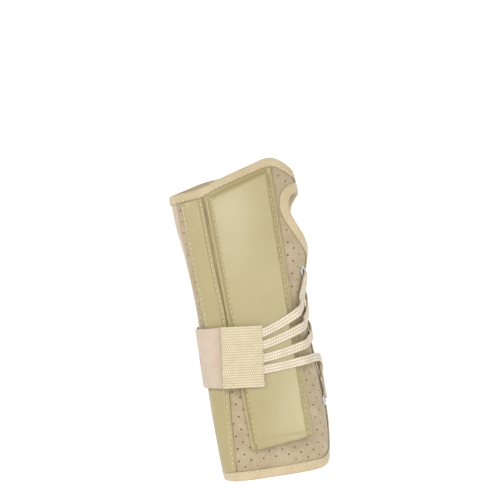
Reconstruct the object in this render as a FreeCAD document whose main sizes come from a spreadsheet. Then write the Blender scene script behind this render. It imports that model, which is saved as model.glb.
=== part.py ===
import FreeCAD, Part
import Sketcher
import math
import os

# Wrist splint for a right forearm and hand. Millimetres.
# X points to the thumb side, Y to the back of the hand, Z to the fingers.
# The origin is the centre of the forearm opening, at the hem.

os.makedirs("parts", exist_ok=True)
doc = FreeCAD.newDocument("wrist_splint")
Vector = FreeCAD.Vector

# ---------------------------------------------------------------- driving dimensions

DIMENSIONS = (
    ("splint_length", 200.0),
    ("bend_radius", 700.0),
    ("straight_height", 40.0),
    ("panel_thick", 3.0),
    ("tape_width", 5.5),
    ("tape_thick", 0.8),
    ("tape_gap", 0.15),
    ("slit_gap", 9.0),
    ("seam_gap", 0.3),
    ("palmar_stay_width", 30.0),
    ("palmar_stay_thick", 1.6),
    ("palmar_stay_length", 150.0),
    ("palmar_stay_corner", 8.0),
    ("pocket_left", -13.6),
    ("pocket_right", 25.4),
    ("pocket_mouth", 20.0),
    ("pocket_lining_thick", 0.9),
    ("pocket_cover_thick", 1.2),
    ("pocket_play", 0.2),
    ("side_pocket_width", 15.0),
    ("side_stay_width", 9.5),
    ("side_stay_thick", 0.8),
    ("side_cover_thick", 0.85),
    ("tab_width", 26.0),
    ("tab_height", 38.5),
    ("tab_layer", 1.1),
    ("tab_gap", 0.1),
    ("strap_width", 38.5),
    ("strap_thick", 1.3),
    ("lace_width", 5.5),
    ("lace_thick", 1.2),
    ("eyelet_inset", 10.3),
    ("eyelet_hole_radius", 1.9),
    ("eyelet_barrel_radius", 2.4),
    ("eyelet_flange_radius", 4.2),
    ("eyelet_flange_thick", 0.7),
    ("washer_radius", 3.4),
    ("eyelet_barrel_length", 4.2),
)

sheet = doc.addObject("Spreadsheet::Sheet", "dimensions")
for row, (alias, value) in enumerate(DIMENSIONS, 1):
    sheet.set("A%d" % row, alias)
    sheet.set("B%d" % row, str(value))
    sheet.setAlias("B%d" % row, alias)
doc.recompute()


def dim(alias):
    return float(sheet.get(alias))


LENGTH = dim("splint_length")
BEND = dim("bend_radius")
STRAIGHT = dim("straight_height")
PANEL = dim("panel_thick")
TAPE_WIDTH = dim("tape_width")
TAPE = dim("tape_thick")
TAPE_GAP = dim("tape_gap")
SLIT = dim("slit_gap")
SEAM = dim("seam_gap")
LACE_STEP = 2.6

# ---------------------------------------------------------------- body form

# Half widths to the little-finger side and the thumb side, and the depth from palm to
# back, at heights above the hem. They are the outer faces of the panels.
ULNAR_HALF = ((0, 34.0), (20, 35.4), (45, 36.4), (75, 36.0), (110, 35.8), (135, 36.8),
              (152, 38.6), (172, 40.8), (200, 41.0))
RADIAL_HALF = ((0, 33.0), (25, 35.6), (45, 35.8), (70, 33.6), (95, 32.2), (112, 33.4),
               (125, 36.2), (137, 39.4), (150, 41.4), (165, 41.0), (185, 39.2), (200, 38.0))
DEPTH = ((0, 54.0), (45, 50.0), (100, 43.0), (125, 40.5), (160, 38.0), (200, 35.0))
PALM_POWER = 3.4
BACK_POWER = 2.4
SAMPLES = 360


def smooth(table, where):
    """Value at a height, by a smooth curve through the table's points."""
    if where <= table[0][0]:
        return table[0][1]
    if where >= table[-1][0]:
        return table[-1][1]
    k = max(i for i in range(len(table) - 1) if table[i][0] <= where)
    before = table[max(k - 1, 0)]
    low, high = table[k], table[k + 1]
    after = table[min(k + 2, len(table) - 1)]
    span = high[0] - low[0]
    rise = (high[1] - low[1]) / span
    slope_low = (high[1] - before[1]) / (high[0] - before[0]) if k else rise
    slope_high = (after[1] - low[1]) / (after[0] - low[0]) if after is not high else rise
    q = (where - low[0]) / span
    return ((2 * q**3 - 3 * q**2 + 1) * low[1] + (q**3 - 2 * q**2 + q) * span * slope_low
            + (3 * q**2 - 2 * q**3) * high[1] + (q**3 - q**2) * span * slope_high)


sections = {}


def section(height):
    """Closed outline at a height: points (x, depth), and the distance along it to each.

    It starts on the thumb side and goes over the palm, the little-finger side and the back.
    """
    key = round(height, 3)
    if key in sections:
        return sections[key]
    ulnar = smooth(ULNAR_HALF, height)
    radial = smooth(RADIAL_HALF, height)
    half_depth = smooth(DEPTH, height) / 2
    half_width = (ulnar + radial) / 2
    middle = (radial - ulnar) / 2
    points = []
    for i in range(SAMPLES + 1):
        turn = 2 * math.pi * i / SAMPLES
        power = PALM_POWER if i <= SAMPLES // 2 else BACK_POWER
        across = abs(math.cos(turn) / half_width) ** power
        up = abs(math.sin(turn) / half_depth) ** power
        reach = (across + up) ** (-1 / power)
        points.append((middle + reach * math.cos(turn), half_depth - reach * math.sin(turn)))
    along = [0.0]
    for a, b in zip(points, points[1:]):
        along.append(along[-1] + math.hypot(b[0] - a[0], b[1] - a[1]))
    sections[key] = (points, along)
    return sections[key]


def girth(height):
    return section(height)[1][-1]


def in_section(s, height):
    """(x, depth, outward x, outward depth) at distance s round the outline from the thumb side."""
    points, along = section(height)
    s = s % along[-1]
    low, high = 0, SAMPLES
    while high - low > 1:
        mid = (low + high) // 2
        if along[mid] <= s:
            low = mid
        else:
            high = mid
    share = (s - along[low]) / (along[high] - along[low])
    a, b = points[low], points[high]
    before = points[low - 1] if low else points[SAMPLES - 1]
    after = points[high + 1] if high < SAMPLES else points[1]
    start = (b[0] - before[0], b[1] - before[1])
    end = (after[0] - a[0], after[1] - a[1])
    tx = start[0] + (end[0] - start[0]) * share
    td = start[1] + (end[1] - start[1]) * share
    size = math.hypot(tx, td)
    x = a[0] + (b[0] - a[0]) * share
    depth = a[1] + (b[1] - a[1]) * share
    return x, depth, -td / size, tx / size


def bend(x, height, depth):
    """Point at x and a depth behind the palm face; the length runs on a circle in YZ."""
    angle = (height - STRAIGHT) / BEND
    y = BEND - (BEND - depth) * math.cos(angle) - HEM_MIDDLE[0]
    z = (BEND - depth) * math.sin(angle) - HEM_MIDDLE[1]
    return Vector(x, y, z)


HEM_MIDDLE = (0.0, 0.0)
hem_centre = bend(0, 0, smooth(DEPTH, 0) / 2)
HEM_MIDDLE = (hem_centre.y, hem_centre.z)


def outward(s, height):
    """Unit outward direction of the panel's outer face."""
    x, depth, out_x, out_depth = in_section(s, height)
    angle = (height - STRAIGHT) / BEND
    return Vector(out_x, out_depth * math.cos(angle), -out_depth * math.sin(angle))


def on_body(s, height, lift):
    """Point at a distance s round the body, a height and a lift above the panels' outer face."""
    x, depth, out_x, out_depth = in_section(s, height)
    return bend(x + out_x * lift, height, depth + out_depth * lift)


def s_of_x(x, height, back=False):
    """Distance round the outline to x, on the palm face, or on the back of the hand."""
    points, along = section(height)
    half = SAMPLES // 2
    steps = range(half, SAMPLES) if back else range(half)
    for i in steps:
        a, b = points[i][0], points[i + 1][0]
        if min(a, b) <= x <= max(a, b):
            share = (x - a) / (b - a)
            return along[i] + (along[i + 1] - along[i]) * share
    return along[half]


# ---------------------------------------------------------------- outlines on the flat cloth

# Distal edge of the splint, by distance round the outline as a share of the girth.
TOP_EDGE = ((0.0, 189.5), (0.05, 193.0), (0.095, 198.4), (0.125, 199.6), (0.18, 196.8),
            (0.24, 193.4), (0.30, 190.0), (0.345, 187.0), (0.42, 185.6), (0.50, 187.8),
            (0.58, 193.0), (0.68, 198.5), (0.78, 198.5), (0.88, 194.0), (1.0, 189.5))
ULNAR_SEAM = 0.452
DORSAL_SEAM = 0.56
HINGE_X = 12.0
FLAP_TOP = 133.0
FLAP_ROUND = 6.0
WEB_BOTTOM = 138.0
THUMB_HOLE = {"s": 2.0, "height": 159.0, "half_width": 16.5, "half_height": 19.8, "egg": 0.4}
CORNER = 24.0


def top_edge(share):
    return smooth(TOP_EDGE, share)


def thumb_hole(turn, grow=0.0):
    """Point (s, height) of the thumb hole's outline."""
    hole = THUMB_HOLE
    wide = hole["half_width"] + grow
    tall = hole["half_height"] + grow
    s = hole["s"] + wide * math.cos(turn) * (1 + hole["egg"] * math.sin(turn))
    return s, hole["height"] + tall * math.sin(turn)


def corner_point(turn, edge, sign):
    """Point of the rounded corner between the hem and a slit edge; sign is +1 on the palm."""
    s = edge + sign * CORNER * (1 - math.cos(turn))
    return s, CORNER * (1 - math.sin(turn))


# ---------------------------------------------------------------- solids of cloth and tape

def closed_solid(faces):
    shell = Part.Shell(faces)
    shell.sewShape()
    solid = Part.Solid(shell)
    if solid.Volume < 0:
        solid.reverse()
    return solid


def slab(outer, inner):
    """Solid between two grids of points that face each other."""
    surfaces = []
    for grid in (outer, inner):
        surface = Part.BSplineSurface()
        surface.interpolate(grid)
        surfaces.append(surface)
    top, base = surfaces
    faces = [top.toShape(), base.toShape()]
    u0, u1, v0, v1 = top.bounds()
    p0, p1, q0, q1 = base.bounds()
    pairs = (
        (top.uIso(u0), base.uIso(p0)),
        (top.uIso(u1), base.uIso(p1)),
        (top.vIso(v0), base.vIso(q0)),
        (top.vIso(v1), base.vIso(q1)),
    )
    for upper, lower in pairs:
        faces.append(Part.makeRuledSurface(upper.toShape(), lower.toShape()))
    return closed_solid(faces)


def cloth(where, across, upward):
    """Sheet on the body. where(a, b) gives (s, height, inner lift, outer lift) for a, b from 0 to 1."""
    outer, inner = [], []
    for i in range(across + 1):
        row_out, row_in = [], []
        for k in range(upward + 1):
            s, height, low, high = where(i / across, k / upward)
            row_out.append(on_body(s, height, high))
            row_in.append(on_body(s, height, low))
        outer.append(row_out)
        inner.append(row_in)
    return slab(outer, inner)


def flat_tool(outline, low, high):
    """Cutter whose sides stand on an outline of (s, height) points; it is all flat triangles."""
    count = len(outline)
    mid = (sum(p[0] for p in outline) / count, sum(p[1] for p in outline) / count)
    upper = [on_body(s, height, high) for s, height in outline]
    lower = [on_body(s, height, low) for s, height in outline]
    top = on_body(mid[0], mid[1], high)
    base = on_body(mid[0], mid[1], low)
    faces = []
    for i in range(count):
        j = (i + 1) % count
        for corners in ((upper[i], upper[j], top), (lower[i], lower[j], base),
                        (upper[i], upper[j], lower[i]), (upper[j], lower[j], lower[i])):
            faces.append(Part.Face(Part.makePolygon(list(corners) + [corners[0]])))
    return closed_solid(faces)


def flat_normal(path, i):
    """Unit direction square to a flat path at point i, to its left."""
    a = path[max(i - 1, 0)]
    b = path[min(i + 1, len(path) - 1)]
    ds = b[0] - a[0]
    dh = b[1] - a[1]
    size = math.hypot(ds, dh)
    return -dh / size, ds / size


def edge_tape(path):
    """Folded tape that wraps a panel's edge. The cloth lies to the left of the flat path."""
    outside = TAPE_GAP + TAPE
    out_low, out_high = TAPE_GAP, outside
    in_low, in_high = -PANEL - outside, -PANEL - TAPE_GAP
    half = TAPE_WIDTH / 2
    profile = (
        (TAPE_WIDTH, out_high), (half, out_high), (-outside, out_high),
        (-outside, in_low), (half, in_low), (TAPE_WIDTH, in_low),
        (TAPE_WIDTH, in_high), (half, in_high), (-TAPE_GAP, in_high),
        (-TAPE_GAP, out_low), (half, out_low), (TAPE_WIDTH, out_low),
    )
    rails = [[] for corner in profile]
    for i, (s, height) in enumerate(path):
        to_s, to_height = flat_normal(path, i)
        for rail, (step, lift) in zip(rails, profile):
            rail.append(on_body(s + to_s * step, height + to_height * step, lift))
    along = [0.0]
    for a, b in zip(path, path[1:]):
        along.append(along[-1] + math.hypot(b[0] - a[0], b[1] - a[1]))
    curves = []
    for rail in rails:
        curve = Part.BSplineCurve()
        curve.interpolate(Points=rail, Parameters=along)
        curves.append(curve.toShape())
    faces = [Part.makeRuledSurface(curves[i - 1], curves[i]) for i in range(len(curves))]
    quads = ((0, 1, 10, 11), (1, 2, 9, 10), (2, 3, 8, 9), (3, 4, 7, 8), (4, 5, 6, 7))
    for end in (0, -1):
        for a, b, c, d in quads:
            for corners in ((a, b, c), (a, c, d)):
                places = [rails[k][end] for k in corners]
                faces.append(Part.Face(Part.makePolygon(places + [places[0]])))
    return closed_solid(faces)


def even_steps(points, step):
    """The same line of (place, face) pairs with its points about one step apart."""
    along = [0.0]
    for a, b in zip(points, points[1:]):
        along.append(along[-1] + (b[0] - a[0]).Length)
    count = max(4, round(along[-1] / step))
    even = []
    span = 0
    for i in range(count + 1):
        goal = along[-1] * i / count
        while span < len(points) - 2 and along[span + 1] < goal:
            span += 1
        q = (goal - along[span]) / (along[span + 1] - along[span])
        even.append(tuple(a * (1 - q) + b * q for a, b in zip(points[span], points[span + 1])))
    return even


def lace(points, width, thick):
    """Flat lace along points (place, outward direction)."""
    points = even_steps(points, LACE_STEP)
    outer, inner = [], []
    last = len(points) - 1
    for i, (place, face) in enumerate(points):
        ahead = points[min(i + 1, last)][0] - points[max(i - 1, 0)][0]
        ahead.normalize()
        up = face - ahead * face.dot(ahead)
        up.normalize()
        side = ahead.cross(up)
        edges = (-width / 2, -width / 6, width / 6, width / 2)
        outer.append([place + side * step + up * (thick / 2) for step in edges])
        inner.append([place + side * step - up * (thick / 2) for step in edges])
    return slab(outer, inner)


def add_feature(label, shape):
    feature = doc.addObject("Part::Feature", label)
    feature.Label = label
    feature.Shape = shape
    feature.Placement = FreeCAD.Placement()
    return feature


nodes = []


def node(label, shape):
    nodes.append(add_feature(label, shape))


# ---------------------------------------------------------------- panels

WASHER = 0.6
WASHER_TOP = -PANEL - TAPE_GAP


def eyelet_hole(s, height):
    """Punched hole for an eyelet's barrel, with the dents of its flange and washer in the cloth."""
    centre = on_body(s, height, 0)
    out = outward(s, height)
    hole = Part.makeCylinder(dim("eyelet_barrel_radius") + 0.15, 12, centre - out * 8, out)
    under = Part.makeCylinder(dim("washer_radius") + 0.1, 6, centre + out * (WASHER_TOP + 0.05), -out)
    over = Part.makeCylinder(dim("eyelet_flange_radius") + 0.1, 6, centre + out * (TAPE_GAP - 0.05), out)
    return hole.fuse(under).fuse(over)


EYELET_INSET = dim("eyelet_inset")
PALMAR_EYELETS = ((EYELET_INSET, 124.8), (EYELET_INSET, 41.5))
FLAP_EYELETS = tuple((-SLIT - EYELET_INSET, height) for height in (122.6, 98.0, 74.0, 46.0))
hole_outline = [thumb_hole(2 * math.pi * i / 48) for i in range(48)]
thumb_cutter = flat_tool(hole_outline, -14, 9)


def corner_cutter(edge, sign):
    """Waste outside the rounded corner between the hem and a slit edge."""
    turns = [math.pi / 2 * i / 10 for i in range(11)]
    arc = [corner_point(turn, edge, sign) for turn in turns]
    outline = arc + [(edge + sign * CORNER, -6), (edge - sign * 3, -6), (edge - sign * 3, CORNER)]
    return flat_tool(outline, -9, 6)


WEB_EDGE = THUMB_HOLE["s"] - THUMB_HOLE["half_width"]
WEB_ROUND = 6.0
THUMB_START = math.radians(-62)
THUMB_RUN_IN = 11.0
hole_start = thumb_hole(THUMB_START)


def run_in():
    """Points that lead from the straight slit edge into the thumb hole."""
    shares = [i / 6 for i in range(6)]
    return [(hole_start[0] * q * q, hole_start[1] - THUMB_RUN_IN * (1 - q)) for q in shares]


def web_corner():
    """Rounded lower corner of the web panel, beside the slit."""
    turns = [math.pi / 2 * i / 8 for i in range(1, 9)]
    return [(WEB_EDGE - WEB_ROUND * (1 - math.cos(turn)), WEB_BOTTOM + WEB_ROUND * (1 - math.sin(turn)))
            for turn in turns]


run_in_cutter = flat_tool(run_in() + [hole_start, (-3, hole_start[1] + 2), (-3, run_in()[0][1])], -9, 6)
web_cutter = flat_tool([(WEB_EDGE, THUMB_HOLE["height"] + 1), (WEB_EDGE, WEB_BOTTOM + WEB_ROUND)]
                       + web_corner() + [(WEB_EDGE - WEB_ROUND, WEB_BOTTOM - 3), (4, WEB_BOTTOM - 3),
                                         (4, THUMB_HOLE["height"] + 1)], -14, 9)


def palmar_place(a, b):
    nominal = b * LENGTH
    share = a * ULNAR_SEAM
    height = b * top_edge(share)
    return share * girth(nominal) + (1 - a) * 0.01, height, -PANEL, 0


palmar_shape = cloth(palmar_place, 40, 24)
palmar_shape = palmar_shape.cut(thumb_cutter)
palmar_shape = palmar_shape.cut(run_in_cutter)
palmar_shape = palmar_shape.cut(corner_cutter(0.0, 1))
for place in PALMAR_EYELETS:
    palmar_shape = palmar_shape.cut(eyelet_hole(*place))
node("palmar_panel", palmar_shape)


def gusset_place(a, b):
    nominal = b * LENGTH
    share = ULNAR_SEAM + a * (DORSAL_SEAM - ULNAR_SEAM)
    gap = SEAM * (1 - 2 * a)
    return share * girth(nominal) + gap, b * top_edge(share), -PANEL, 0


node("ulnar_gusset", cloth(gusset_place, 16, 24))


def hinge_s(height):
    return s_of_x(HINGE_X, height, back=True)


def dorsal_place(a, b):
    nominal = b * LENGTH
    start = DORSAL_SEAM * girth(nominal)
    s = start + a * (hinge_s(nominal) - start)
    return s, b * top_edge(s / girth(nominal)), -PANEL, 0


node("dorsal_panel", cloth(dorsal_place, 20, 24))


def web_place(a, b):
    nominal = WEB_BOTTOM + b * (LENGTH - WEB_BOTTOM)
    round_here = girth(nominal)
    start = hinge_s(nominal) + 3 * SEAM
    s = start + a * (round_here - SEAM - start)
    top = top_edge(s / round_here)
    return s, WEB_BOTTOM + b * (top - WEB_BOTTOM), -PANEL, 0


node("web_panel", cloth(web_place, 24, 12).cut(thumb_cutter).cut(web_cutter))


def flap_place(a, b):
    height = b * FLAP_TOP
    start = hinge_s(height) + 2 * SEAM
    return start + a * (girth(height) - SLIT - start), height, -PANEL, 0


def flap_round():
    """Rounded top corner of the flap, beside the slit."""
    turns = [math.pi / 2 * i / 8 for i in range(9)]
    return [(-SLIT - FLAP_ROUND * (1 - math.sin(turn)), FLAP_TOP - FLAP_ROUND * (1 - math.cos(turn)))
            for turn in turns]


flap_corner = flat_tool(flap_round() + [(-SLIT + 3, FLAP_TOP - FLAP_ROUND), (-SLIT + 3, FLAP_TOP + 3),
                                        (-SLIT - FLAP_ROUND, FLAP_TOP + 3)], -9, 6)
flap_shape = cloth(flap_place, 20, 20).cut(corner_cutter(-SLIT, -1)).cut(flap_corner)
for place in FLAP_EYELETS:
    flap_shape = flap_shape.cut(eyelet_hole(*place))
node("radial_flap", flap_shape)

# ---------------------------------------------------------------- edge tapes

TAPE_STEP = 2.4
SLIT_SPLIT = 30.0
SLIT_TAPE_TOP = 104.0


def stepped(start, end):
    """Evenly spaced values from start to end, about a tape step apart."""
    count = max(2, int(abs(end - start) / TAPE_STEP))
    return [start + (end - start) * i / count for i in range(count + 1)]


def top_path():
    """Distal edge all the way round, with the cloth below it, so it runs against s."""
    full = girth(190)
    path = []
    for s in stepped(full - 0.2, 0.2):
        path.append((s / full * girth(top_edge(s / full)), top_edge(s / full)))
    return path


node("distal_tape", edge_tape(top_path()))


def hem_path():
    """Hem from the back's hinge line, over the little-finger side and palm, up the slit."""
    path = [(s, 0.0) for s in stepped(hinge_s(0) - 0.8, CORNER)]
    turns = [math.pi / 2 * (1 - i / 16) for i in range(1, 17)]
    path += [corner_point(turn, 0.0, 1) for turn in turns]
    path += [(0.0, height) for height in stepped(CORNER + 1.5, SLIT_SPLIT)]
    return path


node("hem_tape", edge_tape(list(reversed(hem_path()))))


def slit_path():
    """Slit edge of the palmar panel, from above the hem to below the thumb hole."""
    return [(0.0, height) for height in stepped(SLIT_SPLIT + 0.4, SLIT_TAPE_TOP)]


def thumb_path():
    """From the top of the slit round the thumb hole and along the web panel's lower edge."""
    low = run_in()[0][1]
    path = [(0.0, height) for height in stepped(SLIT_TAPE_TOP + 0.4, low - TAPE_STEP)] + run_in()
    sweep = math.radians(180) - THUMB_START
    count = 50
    path += [thumb_hole(THUMB_START + sweep * i / count) for i in range(count + 1)]
    side_top = THUMB_HOLE["height"] - TAPE_STEP
    path += [(WEB_EDGE, height) for height in stepped(side_top, WEB_BOTTOM + WEB_ROUND)]
    path += web_corner()
    seam = hinge_s(WEB_BOTTOM) - girth(WEB_BOTTOM) + 3.0
    return path + [(s, WEB_BOTTOM) for s in stepped(WEB_EDGE - WEB_ROUND - 2, seam)]


node("slit_tape", edge_tape(list(reversed(slit_path()))))
node("thumb_tape", edge_tape(list(reversed(thumb_path()))))


def flap_path():
    """Flap's free edges: top, slit edge, rounded corner and hem."""
    top_start = hinge_s(FLAP_TOP) - girth(FLAP_TOP) + 3.0
    bottom_end = hinge_s(0) - girth(0) + 3.0
    path = [(s, FLAP_TOP) for s in stepped(top_start, -SLIT - FLAP_ROUND)] + flap_round()[1:]
    path += [(-SLIT, height) for height in stepped(FLAP_TOP - FLAP_ROUND - 2, CORNER + 1)]
    path += [corner_point(math.pi / 2 * i / 16, -SLIT, -1) for i in range(17)]
    return path + [(s, 0.0) for s in stepped(-SLIT - CORNER - 1.5, bottom_end)]


node("flap_tape", edge_tape(list(reversed(flap_path()))))


def trim(label, *tapes):
    """Take out of a panel the little that the sewn tapes press into."""
    piece = doc.getObject(label)
    shape = piece.Shape
    for tape in tapes:
        shape = shape.cut(doc.getObject(tape).Shape)
    piece.Shape = max(shape.Solids, key=lambda solid: solid.Volume)


trim("dorsal_panel", "distal_tape")
trim("ulnar_gusset", "distal_tape")
trim("palmar_panel", "thumb_tape")

# ---------------------------------------------------------------- stay pockets

LINING = dim("pocket_lining_thick")
PLAY = dim("pocket_play")
POCKET_LEFT = dim("pocket_left")
POCKET_RIGHT = dim("pocket_right")
POCKET_MIDDLE = (POCKET_LEFT + POCKET_RIGHT) / 2
POCKET_MOUTH = dim("pocket_mouth")
POCKET_LEAN = 5.0 / 165
STAY_WIDTH = dim("palmar_stay_width")
STAY_LOW = POCKET_MOUTH + 4
LINING_LIFT = TAPE_GAP
STAY_LIFT = LINING_LIFT + LINING + PLAY
CAVITY_LIFT = STAY_LIFT + dim("palmar_stay_thick") + PLAY
COVER_LIFT = CAVITY_LIFT + dim("pocket_cover_thick")
TAPE_ROOM = TAPE_WIDTH + 0.9


def curved_bar(label, left, right, low, high, base, top):
    """Bar that follows the palm's curve: two round sectors, one cut from the other."""
    angle = (low - STRAIGHT) / BEND
    sectors = []
    for name, lift, extra in ((label + "_outer", top, 0.0), (label + "_inner", base, 1.0)):
        sector = doc.addObject("Part::Cylinder", name)
        sector.setExpression("Radius", "dimensions.bend_radius + %g" % lift)
        sector.Height = right - left + 2 * extra
        sector.Angle = math.degrees((high - low) / BEND) if not extra else 360
        along = Vector(0, math.sin(angle), math.cos(angle))
        to_palm = Vector(0, -math.cos(angle), math.sin(angle))
        turn = FreeCAD.Matrix(to_palm.x, along.x, -1, right + extra,
                              to_palm.y, along.y, 0, BEND - HEM_MIDDLE[0],
                              to_palm.z, along.z, 0, -HEM_MIDDLE[1],
                              0, 0, 0, 1)
        sector.Placement = FreeCAD.Placement(turn)
        sectors.append(sector)
    bar = doc.addObject("Part::Cut", label)
    bar.Base, bar.Tool = sectors
    bar.Label = label
    return bar


def pocket_left(height):
    """x of the pocket's leaning edge."""
    return POCKET_LEFT - (height - POCKET_MOUTH) * POCKET_LEAN


def beyond(points, side):
    """Cutter on the body beyond a line of (x, height) points; side is +1 for the fingers' side."""
    line = [(s_of_x(x, height), height) for x, height in points]
    far = points[0][1] + side * 30
    ends = [(line[-1][0], far), (line[0][0], far)]
    return flat_tool(line + ends, -3, 12)


pocket_block = curved_bar("pocket_block", POCKET_LEFT - 6, POCKET_RIGHT, POCKET_MOUTH - 6, LENGTH,
                          LINING_LIFT, COVER_LIFT)
cavity_half = STAY_WIDTH / 2 + PLAY
pocket_cavity = curved_bar("pocket_cavity", POCKET_MIDDLE - cavity_half, POCKET_MIDDLE + cavity_half,
                           POCKET_MOUTH - 8, STAY_LOW + dim("palmar_stay_length") + 0.6,
                           LINING_LIFT - 0.5, CAVITY_LIFT)
pocket_lining = curved_bar("palmar_pocket_lining", POCKET_MIDDLE - cavity_half + 0.1,
                           POCKET_MIDDLE + cavity_half - 0.1, POCKET_MOUTH + 3,
                           STAY_LOW + dim("palmar_stay_length"), LINING_LIFT, LINING_LIFT + LINING)
palmar_stay_bar = curved_bar("palmar_stay_bar", POCKET_MIDDLE - STAY_WIDTH / 2,
                             POCKET_MIDDLE + STAY_WIDTH / 2, STAY_LOW,
                             STAY_LOW + dim("palmar_stay_length"), STAY_LIFT,
                             STAY_LIFT + dim("palmar_stay_thick"))
doc.recompute()

slanted_top = [(x, top_edge(s_of_x(x, 192) / girth(192)) - TAPE_ROOM) for x in (-21, -12, 0, 9, 18, 30)]
slanted_mouth = [(x, POCKET_MOUTH - 2.5 + (x - POCKET_LEFT) * 0.11) for x in (-21, 7, 30)]
leaning_side = [(s_of_x(pocket_left(height), height), height) for height in (-5, 30, 65, 100, 135, 170, 205)]
beside = flat_tool(leaning_side + [(leaning_side[-1][0] + 12, 205), (leaning_side[0][0] + 12, -5)], -3, 12)
pocket_shape = pocket_block.Shape.cut(pocket_cavity.Shape)
pocket_shape = pocket_shape.cut(beyond(slanted_top, 1)).cut(beyond(slanted_mouth, -1)).cut(beside)
node("palmar_pocket_cover", pocket_shape)
nodes.append(pocket_lining)

stay_corners = []
for number, edge in enumerate(palmar_stay_bar.Shape.Edges, 1):
    if abs(edge.Length - dim("palmar_stay_thick")) < 0.01:
        stay_corners.append((number, dim("palmar_stay_corner"), dim("palmar_stay_corner")))
palmar_stay = doc.addObject("Part::Fillet", "palmar_stay")
palmar_stay.Base = palmar_stay_bar
palmar_stay.Edges = stay_corners
palmar_stay.Label = "palmar_stay"
nodes.append(palmar_stay)

SIDE_WIDTH = dim("side_pocket_width")
SIDE_STAY = dim("side_stay_width")
SIDE_STAY_LIFT = 0.3
SIDE_STAY_TOP = SIDE_STAY_LIFT + dim("side_stay_thick")
SIDE_COVER_LIFT = SIDE_STAY_TOP + 0.1 + dim("side_cover_thick")
ULNAR_POCKET_EDGE = ((0, -26.0), (7, -25.7), (57, -22.3), (94, -17.4), (130, -18.8), (200, -21.3))
BACK_POCKET_WIDTH = 17.0


def ulnar_start(height):
    return s_of_x(smooth(ULNAR_POCKET_EDGE, height), height)


def back_start(height):
    return hinge_s(height) - 1.4 - BACK_POCKET_WIDTH


def side_strip(start, crest, inset, width, margin, low, high):
    """Strip along a side pocket, as wide as the pocket or its stay; crest is the pocket's height."""
    def place(a, b):
        floor = TAPE_ROOM + margin
        nominal = floor + b * (crest - margin - floor)
        s = start(nominal) + inset + a * width
        top = top_edge(s / girth(nominal)) - TAPE_ROOM - margin
        return s, floor + b * (top - floor), low, high
    return cloth(place, 8, 30)


for name, start, width, crest in (("ulnar", ulnar_start, SIDE_WIDTH, 180.0),
                                  ("dorsal", back_start, BACK_POCKET_WIDTH, 190.0)):
    inset = (width - SIDE_STAY) / 2
    cover = side_strip(start, crest, 0, width, 0, TAPE_GAP, SIDE_COVER_LIFT)
    room = side_strip(start, crest, inset - PLAY, SIDE_STAY + 2 * PLAY, 5, -0.6, SIDE_STAY_TOP + 0.1)
    node(name + "_pocket_cover", cover.cut(room))
    node(name + "_stay", side_strip(start, crest, inset, SIDE_STAY, 6, SIDE_STAY_LIFT, SIDE_STAY_TOP))

# ---------------------------------------------------------------- eyelets and washers

HOLE = dim("eyelet_hole_radius")


def ring_body(name, corners, bound):
    """Revolved ring from a closed profile of (radius, level) corners."""
    body = doc.addObject("PartDesign::Body", name)
    plane = [f for f in body.Origin.OriginFeatures if f.Role == "XZ_Plane"][0]
    sketch = body.newObject("Sketcher::SketchObject", name + "_profile")
    sketch.AttachmentSupport = [(plane, "")]
    sketch.MapMode = "FlatFace"
    count = len(corners)
    for i in range(count):
        a, b = corners[i], corners[(i + 1) % count]
        sketch.addGeometry(Part.LineSegment(Vector(a[0], a[1], 0), Vector(b[0], b[1], 0)), False)
    for i in range(count):
        sketch.addConstraint(Sketcher.Constraint("Coincident", i, 2, (i + 1) % count, 1))
    for i in range(count):
        a, b = corners[i], corners[(i + 1) % count]
        kind = "Vertical" if abs(a[0] - b[0]) < 1e-9 else "Horizontal"
        sketch.addConstraint(Sketcher.Constraint(kind, i))
    for line, alias in bound:
        index = sketch.addConstraint(Sketcher.Constraint("DistanceX", -1, 1, line, 1, corners[line][0]))
        sketch.setExpression("Constraints[%d]" % index, "dimensions." + alias)
    ring = body.newObject("PartDesign::Revolution", name + "_ring")
    ring.Profile = sketch
    ring.ReferenceAxis = (sketch, ["V_Axis"])
    ring.Angle = 360
    return body


FLANGE = dim("eyelet_flange_radius")
BARREL = dim("eyelet_barrel_radius")
FLANGE_LOW = TAPE_GAP
FLANGE_HIGH = FLANGE_LOW + dim("eyelet_flange_thick")
BARREL_END = FLANGE_HIGH - dim("eyelet_barrel_length") - dim("eyelet_flange_thick")
eyelet_form = ring_body("eyelet_form", ((HOLE, BARREL_END), (BARREL, BARREL_END), (BARREL, FLANGE_LOW),
                                        (FLANGE, FLANGE_LOW), (FLANGE, FLANGE_HIGH), (HOLE, FLANGE_HIGH)),
                        ((0, "eyelet_hole_radius"), (1, "eyelet_barrel_radius"), (3, "eyelet_flange_radius")))
washer_low = WASHER_TOP - WASHER
rim = dim("washer_radius")
washer_form = ring_body("washer_form", ((BARREL + 0.1, washer_low), (rim, washer_low),
                                        (rim, WASHER_TOP), (BARREL + 0.1, WASHER_TOP)),
                        ((1, "washer_radius"),))
doc.recompute()


def ring_group(label, form, places):
    copies = []
    for s, height in places:
        copy = form.Shape.copy()
        turn = FreeCAD.Rotation(Vector(0, 0, 1), outward(s, height))
        copy.Placement = FreeCAD.Placement(on_body(s, height, 0), turn)
        copies.append(copy)
    node(label, Part.makeCompound(copies))


ring_group("palmar_eyelets", eyelet_form, PALMAR_EYELETS)
ring_group("palmar_eyelet_washers", washer_form, PALMAR_EYELETS)
ring_group("flap_eyelets", eyelet_form, FLAP_EYELETS)
ring_group("flap_eyelet_washers", washer_form, FLAP_EYELETS)

# ---------------------------------------------------------------- pull tab and strap

TAB_TURN = math.radians(6.3)
TAB_HEIGHT = 76.7
TAB_X = -10.8
TAB_LAYER = dim("tab_layer")
TAB_LIFT = COVER_LIFT + 0.4


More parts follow.
